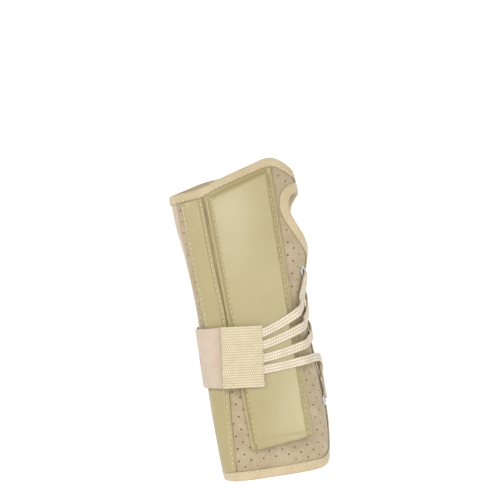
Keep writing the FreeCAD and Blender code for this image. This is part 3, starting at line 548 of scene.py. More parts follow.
def brushed(tree, place, flat):
    """Metal with fine drawn lines."""
    blotches = blotchy(tree, place, 200, 3.0)
    lines = texture(tree, place, "Noise", 900, (6, 1, 0.25), Detail=3.0)
    # The second value is painted shade, darker along the low drawn lines of the bump.
    return blotches, ramp(tree, lines, 0.2, 0.45, 0.85, 1.0), lines, 0.00002


WARP, WEFT, LACE_PICK = 1.3, 1.6, 1.7
PERFORATED = surface("perforated_laminate", (0.53, 0.43, 0.275), (0.44, 0.35, 0.215), 0.88, knit,
                     Sheen_Weight=0.25, Sheen_Roughness=0.5)
LINER = surface("soft_liner", (0.62, 0.52, 0.38), (0.52, 0.43, 0.31), 0.92, knit, Sheen_Weight=0.3)
KNIT = surface("gusset_knit", (0.63, 0.50, 0.37), (0.55, 0.43, 0.31), 0.9, fibres, Sheen_Weight=0.35)
LEATHER = surface("leatherette", (0.455, 0.382, 0.185), (0.41, 0.34, 0.158), 0.36, grain,
                  Specular_IOR_Level=0.5, Coat_Weight=0.4, Coat_Roughness=0.28)
BINDING = surface("edge_binding", (0.72, 0.585, 0.37), (0.62, 0.495, 0.305), 0.85, ribs(0.75, 0.9),
                  Sheen_Weight=0.3)
LACE_CLOTH = surface("lace_yarn", (0.90, 0.78, 0.62), (0.80, 0.68, 0.50), 0.75,
                     plaited(1.4, LACE_PICK, 0.3), Sheen_Weight=0.2)
WEBBING = surface("webbing_yarn", (0.88, 0.77, 0.54), (0.76, 0.65, 0.43), 0.7, plaited(WARP, WEFT, 0.35),
                  Sheen_Weight=0.15)
FRAY = surface("frayed_yarn", (0.80, 0.70, 0.48), (0.68, 0.57, 0.36), 0.75, fibres)
ELASTIC = surface("brushed_elastic", (0.74, 0.60, 0.46), (0.67, 0.53, 0.395), 0.88, ribs(0.55, 0.8),
                  Sheen_Weight=0.4)
THREAD = surface("sewing_thread", (0.82, 0.75, 0.52), (0.70, 0.62, 0.40), 0.6, fibres)
HOOKS = surface("hook_tape_plastic", (0.72, 0.62, 0.48), (0.62, 0.52, 0.39), 0.45, fibres)
LOOPS = surface("loop_tape_pile", (0.60, 0.49, 0.35), (0.50, 0.40, 0.28), 0.95, fibres, Sheen_Weight=0.5)
NICKEL = surface("nickel", (0.62, 0.60, 0.56), (0.52, 0.50, 0.47), 0.27, brushed, Metallic=1.0)
ALUMINIUM = surface("bar_aluminium", (0.70, 0.71, 0.72), (0.60, 0.61, 0.63), 0.34, brushed, Metallic=1.0)
STEEL = surface("spring_steel", (0.46, 0.47, 0.49), (0.38, 0.39, 0.41), 0.3, brushed, Metallic=1.0)

# ---- sewn panels

LATTICE, HOLE_RADIUS, HOLE_MARGIN, HOLE_SIDES = 4.0, 0.6, 7.5, 8
EYELET_BORE, EYELET_CLEAR, BORE_SIDES = 2.6, 6.0, 20
RIM_STEP, FILL_STEP = 1.6, 2.8


def inside(polygon, points):
    """Which points lie in a closed flat outline."""
    x, y = points[:, 0], points[:, 1]
    result = np.zeros(len(points), bool)
    for (x1, y1), (x2, y2) in zip(polygon, np.roll(polygon, -1, axis=0)):
        crosses = (y1 > y) != (y2 > y)
        result ^= crosses & (x < (x2 - x1) * (y - y1) / (y2 - y1 + 1e-12) + x1)
    return result


def gap_to(outline, points):
    """Distance from each point to the nearest of the outline's points."""
    return np.min(np.linalg.norm(points[:, None] - outline[None], axis=2), axis=1)


def seam_holes():
    """Air holes in two staggered lines along the palm side of the ulnar seam."""
    top = top_edge(ULNAR_SEAM)
    rows = np.arange(10.0, top - 8, 3.6)
    inset = np.where(np.arange(len(rows)) % 2 == 0, 1.9, 4.3)
    return np.stack([ULNAR_SEAM * girth(rows * LENGTH / top) - inset, rows], -1)


def lattice_holes(outline, lines):
    """A panel's air holes: a staggered lattice clear of the edge, and the holes in set lines."""
    low, high = outline.min(0) // LATTICE - 1, outline.max(0) // LATTICE + 2
    i, k = np.meshgrid(np.arange(low[0], high[0]), np.arange(low[1], high[1]))
    even = (i + k) % 2 == 0
    spots = np.stack([i[even], k[even]], -1) * LATTICE
    spots = spots[inside(outline, spots)]
    spots = spots[gap_to(outline, spots) > HOLE_MARGIN]
    if len(lines):
        spots = np.concatenate([spots[gap_to(lines, spots) > LATTICE - 0.6], lines])
    return spots


def cut_cloth(outline, rounds):
    """Flat points and triangles inside an outline, with round holes of (centre, radius, sides)."""
    low, high = outline.min(0), outline.max(0)
    fill = np.stack(np.meshgrid(*(np.arange(low[n], high[n], FILL_STEP) for n in (0, 1))), -1).reshape(-1, 2)
    fill = fill[inside(outline, fill)]
    fill = fill[gap_to(outline, fill) > 1.2]
    points, count = [outline], len(outline)
    edges = [(n, (n + 1) % count) for n in range(count)]
    for centre, radius, sides in rounds:
        fill = fill[np.linalg.norm(fill - centre, axis=1) > radius + 0.6]
        turn = np.arange(sides) * 2 * pi / sides
        points.append(centre + radius * np.stack([np.cos(turn), np.sin(turn)], -1))
        edges += [(count + n, count + (n + 1) % sides) for n in range(sides)]
        count += sides
    points = [Vector(point) for point in np.concatenate(points + [fill])]
    result = delaunay_2d_cdt(points, edges, [], 0, 1e-5, False)
    flat, triangles = np.array([list(point) for point in result[0]]), np.array(result[2])
    middles = flat[triangles].mean(1)
    keep = inside(outline, middles)
    for centre, radius, _ in rounds:
        keep &= np.linalg.norm(middles - centre, axis=1) > radius * 0.9
    return flat, triangles[keep]


def panel(name, outline, rides, material, covered=None, eyelets=(), slot="perforated_fabric", lines=()):
    """A laminate panel cut to a flat outline, with its punched air holes as real holes."""
    outline = resample(np.vstack([outline, outline[:1]]), RIM_STEP)
    punched = lattice_holes(outline, lines)
    if covered:
        punched = punched[~covered(punched[:, 0], punched[:, 1])]
    if material is KNIT:
        punched = punched[:0]
    if eyelets:
        punched = punched[gap_to(np.array(eyelets), punched) > EYELET_CLEAR]
    rounds = [(spot, HOLE_RADIUS, HOLE_SIDES) for spot in punched]
    rounds += [(np.array(spot), EYELET_BORE, BORE_SIDES) for spot in eyelets]
    flat, triangles = cut_cloth(outline, rounds)
    first, second, third = (flat[triangles[:, k]] for k in range(3))
    turned = np.cross(second - first, third - first)
    triangles[turned > 0] = triangles[turned > 0][:, ::-1]
    sides = np.concatenate([triangles[:, [0, 1]], triangles[:, [1, 2]], triangles[:, [2, 0]]])
    known = {tuple(side) for side in sides.tolist()}
    rim = np.array([side for side in known if side[::-1] not in known])
    soft = 0.10 * ripple(flat[:, 0], flat[:, 1], 34, len(name))
    if rounds:
        soft = soft - 0.22 * hump(gap_to(np.array([centre for centre, _, _ in rounds]), flat), 0, 1.3)
    outer = body(flat[:, 0], flat[:, 1], soft)
    inner = body(flat[:, 0], flat[:, 1], -PANEL - 0.3 * soft)
    size, spans = len(flat), len(triangles)
    walls = np.stack([rim[:, 1], rim[:, 0], rim[:, 0] + size, rim[:, 1] + size], -1)
    faces = triangles.tolist() + (triangles[:, ::-1] + size).tolist() + walls.tolist()
    piece = make(name, np.concatenate([outer, inner]), faces, material, rides, (name,), slot)
    piece.data.materials.append(LINER)
    piece.data.polygons.foreach_set("material_index", [0] * spans + [1] * spans + [0] * len(walls))
    piece.data.set_sharp_from_angle(angle=radians(50))


def palm_x(s, height):
    """x of flat places, or a far value where they don't lie on the palm face."""
    x = look_up(OUTLINE_X, s, height)
    return np.where(look_up(OUT_DEPTH, s, height) < -0.2, x, 99.0)


POCKET_LEFT, POCKET_RIGHT, POCKET_MOUTH, POCKET_LEAN = -13.6, 25.4, 20.0, 5.0 / 165
ULNAR_EDGE = ((0, -26.0), (7, -25.7), (57, -22.3), (94, -17.4), (130, -18.8), (200, -21.3))
SIDE_WIDTH, BACK_WIDTH, TAPE_ROOM = 15.0, 17.0, 6.4
PATCH_HEIGHT, PATCH_HALF, PATCH_NEAR, PATCH_FAR = 84, 26, 5, 34
EYELET_INSET = 10.3
PALMAR_EYELETS = [(EYELET_INSET, 124.8), (EYELET_INSET, 41.5)]
FLAP_EYELETS = [(-SLIT - EYELET_INSET, height) for height in (122.6, 98.0, 74.0, 46.0)]


def pocket_left(height):
    """x of the wide pocket's leaning edge."""
    return POCKET_LEFT - (height - POCKET_MOUTH) * POCKET_LEAN


def ulnar_start(height):
    return float(s_of_x(smooth_at(ULNAR_EDGE, height), height))


def dorsal_start(height):
    return float(hinge_s(height)) - 1.4 - BACK_WIDTH


def under_palm_pockets(s, height):
    """Which flat places a palm-side pocket covers."""
    x = palm_x(s, height)
    starts = np.array([ulnar_start(h) for h in height])
    wide = (x > pocket_left(height) - 0.8) & (x < POCKET_RIGHT + 0.8) & (height > POCKET_MOUTH - 2)
    return wide | ((s > starts - 0.9) & (s < starts + SIDE_WIDTH + 0.9))


def under_dorsal_pocket(s, height):
    """Which flat places the dorsal pocket or the loop patch covers."""
    starts = np.array([dorsal_start(h) for h in height])
    patch = (s < starts - PATCH_NEAR) & (s > starts - PATCH_FAR)
    patch &= np.abs(height - PATCH_HEIGHT) < PATCH_HALF
    return ((s > starts - 0.9) & (s < starts + BACK_WIDTH + 2)) | patch


def panel_outlines():
    """Flat cutting outlines of the five panels."""
    def seam(share, shift):
        return [(share * float(girth(h * LENGTH)) + shift, h * top_edge(share)) for h in stepped(0, 1, 0.02)]

    def rim(start, end):
        return [top_at(share) for share in stepped(start, end, 0.01)]

    palmar = corner(0.0, 1)[-1:] + [(s, 0.0) for s in stepped(CORNER, ULNAR_SEAM * float(girth(0)))]
    palmar += seam(ULNAR_SEAM, 0) + rim(ULNAR_SEAM - 0.01, 0.001)
    palmar += hole_arc(radians(84), THUMB_START) + run_in()[::-1]
    palmar += [(0.0, h) for h in stepped(SLIT_TOP, CORNER + 1)] + corner(0.0, 1)[:-1]
    gusset = seam(ULNAR_SEAM, SEAM) + rim(ULNAR_SEAM + 0.01, DORSAL_SEAM - 0.01)
    gusset += seam(DORSAL_SEAM, -SEAM)[::-1]
    hinge_share = float(hinge_s(HINGE_TOP + 1) / girth(HINGE_TOP + 1))
    dorsal = seam(DORSAL_SEAM, 0) + rim(DORSAL_SEAM + 0.01, hinge_share)
    dorsal += [(float(hinge_s(h)), h) for h in stepped(HINGE_TOP, 0, 4)]
    web = [(back_s(h, BUTT), h) for h in stepped(WEB_BOTTOM, HINGE_TOP, 4)]
    web += [(s - float(girth(h)), h) for s, h in rim(hinge_share + 0.005, 0.999)]
    web += hole_to_web(radians(86))
    flap = [(back_s(h, BUTT), h) for h in stepped(0, FLAP_TOP, 4)]
    flap += flap_round() + [(-SLIT, h) for h in stepped(FLAP_TOP - FLAP_ROUND - 2, CORNER + 1)]
    flap += corner(-SLIT, -1)
    return {"palmar_panel": palmar, "ulnar_gusset": gusset, "dorsal_panel": dorsal, "web_panel": web,
            "radial_flap": flap}


def make_panels():
    outlines = {name: np.array(path, float) for name, path in panel_outlines().items()}
    panel("palmar_panel", outlines["palmar_panel"], "sleeve", PERFORATED, under_palm_pockets,
          PALMAR_EYELETS, lines=seam_holes())
    panel("ulnar_gusset", outlines["ulnar_gusset"], "sleeve", KNIT, slot="smooth_fabric")
    panel("dorsal_panel", outlines["dorsal_panel"], "sleeve", PERFORATED, under_dorsal_pocket)
    panel("web_panel", outlines["web_panel"], "sleeve", PERFORATED)
    panel("radial_flap", outlines["radial_flap"], "flap", PERFORATED, eyelets=FLAP_EYELETS)


# ---- bindings

TAPE_WIDTH, TAPE, TAPE_GAP = 5.5, 0.8, 0.15
TAPE_LIFT = TAPE + TAPE_GAP
TAPE_STEP, TAPE_SEAM = 1.1, 4.3


def flat_sides(path):
    """Unit flat directions to the left of a path."""
    ahead = np.gradient(path, axis=0)
    return unit(np.stack([-ahead[:, 1], ahead[:, 0]], -1))


def tape_profile():
    """(step onto the cloth, lift) round the folded tape's cross-section."""
    mid, tall = -PANEL / 2, PANEL / 2 + TAPE_LIFT
    fold = [(0.3 - 1.2 * cos(t), mid + tall * sin(t))
            for t in np.linspace(pi / 2, -pi / 2, 11)]
    outer = [(TAPE_WIDTH, 0.25), (TAPE_WIDTH, 0.75), (TAPE_WIDTH - 0.35, TAPE_LIFT), (4.4, 0.82),
             (3.6, TAPE_LIFT + 0.1), (2.0, TAPE_LIFT + 0.08)]
    inner = [(2.0, -PANEL - TAPE_LIFT), (TAPE_WIDTH, -PANEL - TAPE_LIFT), (TAPE_WIDTH, -PANEL - TAPE_GAP)]
    back = [(0.4, -PANEL - TAPE_GAP), (-0.1, mid), (0.4, TAPE_GAP)]
    return outer + fold + inner + back


def make_tape(name, path, rides):
    """A binding folded over an edge, and its line of stitches."""
    line = resample(path, TAPE_STEP)
    line[0], line[-1] = path[0], path[-1]
    side = flat_sides(line)
    profile = np.array(tape_profile())
    count = np.arange(len(line))
    wave = ripple(count, 0 * count, 14, len(name))
    step = profile[None, :, 0] * (1 + 0.03 * wave[:, None])
    pucker = 0.10 * np.sin(count * 2 * pi / 3)[:, None] * hump(profile[None, :, 0], 4.0, 1.0)
    lift = profile[None, :, 1] + pucker * (profile[None, :, 1] > 0) + 0.06 * wave[:, None]
    s = line[:, None, 0] + side[:, None, 0] * step
    height = line[:, None, 1] + side[:, None, 1] * step
    piece = make(name, *tube(body(s, height, lift)), BINDING, rides, (name,), "edge_tape")
    across = np.tile(np.arange(len(profile)) * 0.8, len(line))
    add_flat(piece, across, np.repeat(count * TAPE_STEP, len(profile)))
    seam = stitch_line(line + side * TAPE_SEAM, TAPE_LIFT + 0.02)
    make(name + "_stitches", *seam, THREAD, rides, slot="edge_tape")


def add_flat(piece, across, along):
    """Flat cloth coordinates, in mm, for the woven textures."""
    layer = piece.data.uv_layers.new(name="flat")
    index = np.zeros(len(piece.data.loops), np.int32)
    piece.data.loops.foreach_get("vertex_index", index)
    flat = np.stack([np.asarray(across).ravel()[index], np.asarray(along).ravel()[index]], -1)
    layer.data.foreach_set("uv", flat.astype(np.float32).ravel())


def add_flat_twice(piece, across, along):
    """The same flat coordinates for a slab's outer and inner grids."""
    add_flat(piece, *(np.concatenate([values.ravel()] * 2) for values in (across, along)))


# ---- stay pockets

STAY_SIDE, COVER, POCKET_RISE = 15.3, 1.1, 4.2
POCKET_MIDDLE, POCKET_OUTSET = (POCKET_LEFT + POCKET_RIGHT) / 2, 0.9
COVER_SEAM, COVER_TOP, UNDER_TAPE = 2.9, 186.0, 0.9
SIDE_LOW, SIDE_SEAM, SIDE_CROWN = 5.4, 1.9, 2.05


def pocket_depth(x, height, sunk):
    """Depth of the wide cover's face behind the palm plane, and a distance sunk below that face."""
    s = s_of_x_grid(x, height)
    surface = look_up(OUTLINE_DEPTH, s, height)
    side = np.minimum(x - pocket_left(height) + POCKET_OUTSET, POCKET_RIGHT - x)
    top_room = np.array([top_edge(share) for share in (s / girth(height)).ravel()]).reshape(x.shape)
    near_top = eased(top_room - TAPE_ROOM - height, 0.3, 4.0)
    crown = eased(side, 2.7, 4.5) * (0.12 + 0.88 * near_top)
    edge = surface - 1.65 + 0.45 * hump(side, COVER_SEAM, 0.8) - 0.25 * hump(side, 1.2, 0.9)
    edge = edge + 0.10 * ripple(x, height, 22, 5)
    belly = -POCKET_RISE - 0.5 * (1 - (np.abs(x - POCKET_MIDDLE) / STAY_SIDE)**2)
    belly = belly + 0.14 * ripple(x * 0.6, height, 42, 3)
    dip = 0.45 * hump(height, POCKET_MOUTH + 3.2, 1.1)
    return edge + (belly - edge) * crown + dip * crown + sunk


def s_of_x_grid(x, height):
    """Palm-side distance round the outline for grids of x and height."""
    s = np.zeros(np.broadcast(x, height).shape)
    flat_x, flat_height = np.broadcast_arrays(x, height)
    for level in np.unique(np.round(flat_height, 2)):
        here = np.abs(flat_height - level) < 0.006
        s[here] = s_of_x(flat_x[here], level)
    return s


def make_wide_pocket():
    """The palm cover, open at its lower edge, with a stitched fold along each side."""
    steps = np.concatenate([np.linspace(0, 8, 28), np.linspace(9, 30, 18), np.linspace(31, 39, 28)]) / 39
    low = POCKET_MOUTH - 2.5 + steps * (POCKET_RIGHT - POCKET_LEFT) * 0.11
    tops = pocket_left(COVER_TOP) + steps * (POCKET_RIGHT - pocket_left(COVER_TOP))
    shares = [float(s_of_x(x, COVER_TOP + 6)) / float(girth(COVER_TOP + 6)) for x in tops]
    high = np.array([top_edge(share) - TAPE_ROOM + UNDER_TAPE for share in shares])
    height = np.round(low[None] + np.linspace(0, 1, 150)[:, None] * (high - low)[None], 2)
    lefts = pocket_left(height) - POCKET_OUTSET
    x = lefts + steps[None] * (POCKET_RIGHT - lefts)
    depth = pocket_depth(x, height, 0.0)
    side = np.minimum(x - lefts, POCKET_RIGHT - x)
    outer = bend(x, height, depth + 0.75 * hump(side, 0, 0.35) + 0.55 * hump(height, low[None], 0.7))
    surface = look_up(OUTLINE_DEPTH, s_of_x_grid(x, height), height)
    inner = bend(x, height, np.minimum(depth + COVER, surface - 0.12))
    piece = make("palmar_pocket_cover", *slab(outer[:, ::-1], inner[:, ::-1]), LEATHER, "sleeve",
                 ("palmar_pocket_cover",), "leatherette")
    seams = []
    for leans, inset in ((True, COVER_SEAM), (False, -COVER_SEAM)):
        heights = np.arange(POCKET_MOUTH + 3.0, float(high.min()) - 0.5, STITCH_PITCH) + (0 if leans else 1.2)
        heights = np.round(heights, 2)
        xs = (pocket_left(heights) if leans else np.full(len(heights), POCKET_RIGHT)) + inset
        spots = bend(xs, heights, pocket_depth(xs[:, None], heights[:, None], -0.08)[:, 0])
        seams.append(stitches(spots, np.tile([0, -1.0, 0], (len(spots), 1)), 0.28))
    make("palmar_pocket_stitches", *joined(seams), THREAD, "sleeve", slot="leatherette")


def make_side_pocket(name, start, width, crest):
    """Narrow sewn pocket with a raised middle over its stay. crest is the height that its top follows."""
    def begins(share):
        return start(SIDE_LOW + share * (crest - 4.5))

    shares = np.linspace(0, 1, 140)
    across = np.concatenate([np.linspace(0, 4.6, 14), np.linspace(5.2, width - 5.2, 12),
                             np.linspace(width - 4.6, width, 14)])
    s = np.array([begins(share) for share in shares])[:, None] + across[None]
    highest = np.array([[top_edge(float(v / girth(190))) for v in row] for row in s]) - TAPE_ROOM + UNDER_TAPE
    height = SIDE_LOW + shares[:, None] * (highest - SIDE_LOW)
    off = width / 2 - np.abs(across - width / 2)
    edge = 1.25 - 0.42 * hump(off, SIDE_SEAM, 0.45)
    ends = eased(shares, 0, 0.03) * eased(1 - shares, 0, 0.03)
    lift = edge[None] + (SIDE_CROWN - edge[None]) * eased(off, 2.0, 3.6)[None] * (0.35 + 0.65 * ends[:, None])
    lift = lift + 0.07 * ripple(s, height, 26, 9) - 0.8 * hump(off, 0, 0.35)[None]
    sheet = slab(body(s, height, lift), body(s, height, np.minimum(lift - 0.15, 0.14)))
    piece = make(name, *sheet, LEATHER, "sleeve", (name,), "leatherette")
    seams = []
    top = float(highest[-1].mean())
    heights = np.arange(8.0, float(highest.min()) - 1.0, STITCH_PITCH)
    for inset in (SIDE_SEAM, width - SIDE_SEAM):
        s = np.array([begins((h - SIDE_LOW) / (top - SIDE_LOW)) + inset for h in heights])
        seams.append(stitches(body(s, heights, 0.92), outward(s, heights)))
    make(name + "_stitches", *joined(seams), THREAD, "sleeve", slot="leatherette")


# ---- pull tab and strap

TAB_TURN, TAB_HEIGHT, TAB_X = radians(6.3), 76.7, -10.8
TAB_WIDE, TAB_TALL, TAB_LAYER, TAB_LIFT = 26.0, 38.5, 1.1, 4.65
TAB_SEAMS = (2.3, 3.9)
STRAP_TURN, STRAP_LEVEL = radians(7.5), TAB_HEIGHT + 1.4
STRAP_WIDE, STRAP = 38.5, 1.3
STRAP_START = (float(s_of_x(TAB_X - TAB_WIDE / 2, STRAP_LEVEL)), STRAP_LEVEL)
STRAP_RISE = ((-3.0, 4.5), (0.5, 4.5), (6.0, 3.9), (12.0, 2.6), (17.0, 1.9), (22.0, 0.8), (34.0, 0.8),
              (42.0, 2.4), (70.0, 2.4))
STRAP_TUCK, STRAP_MEET, STRAP_END = -2.6, 23.0, 60.0
STRAP_FOLDS = {"tab": 11.0, "end": 35.0}
HOOK, HOOK_PITCH = ((0, 0), (0.02, 0.3), (0.16, 0.46), (0.32, 0.40)), 1.25  # lean and rise up a hook


def tab_frame():
    """The tab's directions across, up and out, and its centre on the palm plane."""
    angle = (TAB_HEIGHT - STRAIGHT) / BEND
    along = np.array([0, sin(angle), cos(angle)])
    out = np.array([0, -cos(angle), sin(angle)])
    side = np.array([1.0, 0, 0])
    return (side * cos(TAB_TURN) - along * sin(TAB_TURN),
            side * sin(TAB_TURN) + along * cos(TAB_TURN), out, bend(TAB_X, TAB_HEIGHT, 0.0))


def on_tab(across, up, lift):
    side, along, out, centre = tab_frame()
    across, up, lift = np.broadcast_arrays(across, up, lift)
    return centre + side * across[..., None] + along * up[..., None] + out * lift[..., None]


def make_tab_layer(name, low, high, seed, start=-TAB_WIDE / 2):
    """Ribbed webbing: rows of thick picks across the tab, bound by the ends that run up it."""
    u, v = grid((start, TAB_WIDE / 2, 150), (-TAB_TALL / 2, TAB_TALL / 2, 270))
    row = (v + TAB_TALL / 2) / WEFT
    pick = np.abs(np.sin(row * pi))**0.7
    end = np.abs(np.sin((u / WARP + 0.5 * (np.floor(row) % 2)) * pi))**0.8
    from_end = TAB_TALL / 2 - np.abs(v)
    weave = 0.38 * pick * (0.25 + 0.75 * end)
    weave = weave - 0.25 * hump(from_end, TAB_SEAMS[0], 0.35) - 0.22 * hump(from_end, TAB_SEAMS[1], 0.35)
    selvedge = 0.35 * hump(np.abs(u), TAB_WIDE / 2, 0.4)
    bow = 0.22 * (u / (TAB_WIDE / 2))**2 + 0.12 * ripple(u, v, 30, seed)
    ragged = 0.22 * ripple(v * 3, u * 0, 5, seed + 1) * (np.abs(u) > TAB_WIDE / 2 - 0.3)
    face = high - 0.25 - bow + weave - selvedge
    outer = on_tab(u + ragged, v, face)
    inner = on_tab(u + ragged, v, np.minimum(face - 0.5, low + 0.25 - bow * 0.4))
    piece = make(name, *slab(outer, inner), WEBBING, "tab", (name,), "webbing")
    add_flat_twice(piece, u + WARP / 2 * (np.floor(row) % 2), v + TAB_TALL / 2)


def make_tab():
    """Two layers of webbing, the stitches that close them, and the yarns that fray from the ends."""
    front = TAB_LIFT + TAB_LAYER + 0.1
    make_tab_layer("pull_tab_webbing", front, front + TAB_LAYER, 21)
    make_tab_layer("pull_tab_backing", TAB_LIFT, TAB_LIFT + TAB_LAYER, 33, 3.2 - TAB_WIDE / 2)
    side, along, out, _ = tab_frame()
    u = np.arange(-TAB_WIDE / 2 + 1.2, TAB_WIDE / 2 - 0.6, 2.4)
    rows = []
    for level in TAB_SEAMS:
        for sign in (-1, 1):
            spots = on_tab(u, sign * (TAB_TALL / 2 - level), front + TAB_LAYER - 0.25)
            rows.append(capsules(spots, np.tile(side, (len(u), 1)), np.tile(out, (len(u), 1)), 1.7, 0.22))
    make("pull_tab_stitches", *joined(rows), THREAD, "tab", slot="webbing")
    pick = np.random.default_rng(7)
    frays = []
    for n in range(58):
        left = n % 3 > 0
        sign = -1 if left else 1
        v = pick.uniform(8, TAB_TALL / 2) if n % 2 else pick.uniform(-TAB_TALL / 2, TAB_TALL / 2)
        start = on_tab(np.array(sign * TAB_WIDE / 2), np.array(v), np.array(front + pick.uniform(0.2, 0.9)))
        away = side * sign + along * pick.uniform(-0.5, 0.5) + out * pick.uniform(-0.1, 0.3)
        length = pick.uniform(0.5, 2.0) if left else pick.uniform(0.3, 0.9)
        curl = along * pick.uniform(-0.7, 0.7) + out * pick.uniform(-0.2, 0.4)
        line = [start + away * length * t + curl * length * t * t * 0.6 for t in (0, 0.35, 0.7, 1.0)]
        rings = [[point + (along * cos(a) + out * sin(a)) * (0.10 - 0.02 * k) for a in THIRDS]
                 for k, point in enumerate(line)]
        frays.append(tube(np.array(rings)))
    make("pull_tab_frayed_yarns", *joined(frays), FRAY, "tab", slot="webbing")


def strap_flat(p, q):
    """Flat (s, height) of places p along the strap's line from the tab and q across it."""
    return (STRAP_START[0] + p * cos(STRAP_TURN) - q * sin(STRAP_TURN),
            STRAP_START[1] + p * sin(STRAP_TURN) + q * cos(STRAP_TURN))


def strap_places(p, q, lift):
    """Places at p and q on the strap, and a lift above its inner face."""
    return body(*strap_flat(p, q), smooth(STRAP_RISE, p) + lift)


def make_strap_piece(name, start, end, stands_for, fold):
    """A length of the elastic strap, with its transform baked into the mesh."""
    count = max(20, int((end - start) / 0.45))
    p, q = grid((start, end, count), (1, -1, 96))
    across = q * STRAP_WIDE / 2 * (1 - 0.012 * np.sin(p * 0.35) - 0.02 * eased(p, 0, 20))
    folds = 0.16 * ripple(p, across * 0.16, 11, 13) + 0.05 * ripple(p * 2.4, across * 0.3, 6, 17)
    folds = folds * eased(p, 0.5, 4.0)
    thin = 0.25 * (1 - eased(p, 0.3, 1.6))
    selvedge = 0.28 * hump(np.abs(q), 1, 0.035)
    cord = 0.035 * np.sin(across * 2 * pi / 1.1)
    outer = strap_places(p, across, STRAP - 0.15 - thin + folds - selvedge + cord)
    inner = strap_places(p, across, 0.12 + folds * 0.6 + selvedge * 0.6)
    piece = make(name, *slab(outer, inner), ELASTIC, None, stands_for, "elastic")
    add_flat_twice(piece, p, across)
    before, after = (strap_places(np.array(fold + shift), np.array(0.0), 0.5) * MM for shift in (-4.0, 4.0))
    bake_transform(piece)


def make_hook_patch():
    """The backing on the strap's inner face, and its rows of small bent hooks."""
    base = grid((STRAP_END - 17, STRAP_END - 2, 14), (17.2, -17.2, 24))
    parts = [slab(strap_places(*base, -0.12), strap_places(*base, -0.42))]
    for p in np.arange(STRAP_END - 16.4, STRAP_END - 2.4, HOOK_PITCH):
        for q in np.arange(-16.5, 16.6, HOOK_PITCH):
            stalk = [strap_places(np.array(p + lean), np.array(q), -0.38 - rise) for lean, rise in HOOK]
            rings = [[spot + np.array([cos(t), 0.3 * sin(t), sin(t)]) * 0.13 for t in THIRDS]
                     for spot in stalk]
            parts.append(tube(np.array(rings)))
    make("hook_patch", *joined(parts), HOOKS, "strap_end", ("hook_patch",), "hook_tape")


def make_loop_patch():
    """The pile on the sleeve that the hooks close on, sewn round its edge."""
    low, high, half = STRAP_FOLDS["end"] + 4, STRAP_END + 4, 23
    p, q = grid((low, high, 90), (half, -half, 150))
    edge = np.minimum(np.minimum(p - low, high - p), half - np.abs(q))
    pile = 0.14 * ripple(p * 4, q * 4, 4.2, 5) + 0.10 * ripple(p * 9, q * 9, 6, 6)
    lift = 0.72 + pile * eased(edge, 0, 1.5) - 0.4 * hump(edge, 0, 0.5) - 0.2 * hump(edge, 2, 0.5)
    s, height = strap_flat(p, q)
    make("loop_patch", *slab(body(s, height, lift), body(s, height, 0.16)), LOOPS, "sleeve", ("loop_patch",),
         "loop_tape")
    inset = half - 2
    ring = [(low + 2, -inset), (low + 2, inset), (high - 2, inset), (high - 2, -inset), (low + 2, -inset)]
    line = resample(ring, 0.8)
    seam = np.stack(strap_flat(line[:, 0], line[:, 1]), -1)
    make("loop_patch_stitches", *stitch_line(seam, 0.62), THREAD, "sleeve", slot="loop_tape")


# ---- laces and eyelets

LACE_WIDE, LACE, LACE_DEPTH, LACE_STEP = 5.5, 1.2, -5.2, 0.26
TAB_EDGE = TAB_X + TAB_WIDE / 2 * cos(TAB_TURN)
FAN_END, FAN_BLEND = 27.7, 9.0
FAN = ((88.6, 92.6, 98.6), (81.2, 84.2, 88.6), (73.7, 75.2, 78.0), (67.0, 67.5, 68.8))
OUTSIDE, OVER_TAPE, INSIDE = 2.0, 2.3, -5.4
EYELET_S, FLAP_S = EYELET_INSET, -SLIT - EYELET_INSET


def in_air(x, height, depth, angle):
    """A lace's place behind the palm plane, and its face's way, an angle from the palm to the thumb."""
    turn, tilt = radians(angle), (height - STRAIGHT) / BEND
    face = (sin(turn), -cos(turn) * cos(tilt), cos(turn) * sin(tilt))
    return np.concatenate([bend(x, height, depth), face])


def on_cloth(*points):
    """Places and faces along a smooth line through flat (s, height, lift) points."""
    points = np.array(points, float)
    last = len(points) - 1
    spots = []
    for i in range(last * 4 + 1):
        span = min(i // 4, last - 1)
        q = i / 4 - span
        a, b, c, d = (points[min(max(span + k, 0), last)] for k in (-1, 0, 1, 2))
        spots.append(b + 0.5 * q * (c - a + q * (2 * a - 5 * b + 4 * c - d + q * (3 * b - a - 3 * c + d))))
    s, height, lift = np.array(spots).T
    return list(np.concatenate([body(s, height, lift), outward(s, height)], 1))


def over_edge(height, rise):
    """A strand's way round the thumb side, off the wide pocket."""
    return [in_air(28.8, height, -4.2, 66), in_air(30.2, height + rise * 0.3, -0.8, 72),
            in_air(31.3, height + rise * 0.62, 2.6, 74)]


def fan_line(number):
    """A strand's way from between the tab's layers to the pocket's edge."""
    low, middle, high = FAN[number]
    edge = TAB_EDGE + (low - TAB_HEIGHT) * sin(TAB_TURN) - 3.5
    line = []
    for q in np.linspace(0, 1, 9):
        height = low * (1 - q)**2 + (2 * middle - (low + high) / 2) * 2 * q * (1 - q) + high * q**2
        line.append(in_air(edge + (27.4 - edge) * q, height, LACE_DEPTH - (0.35 if q < 0.3 else 0.0), 0))
    return line


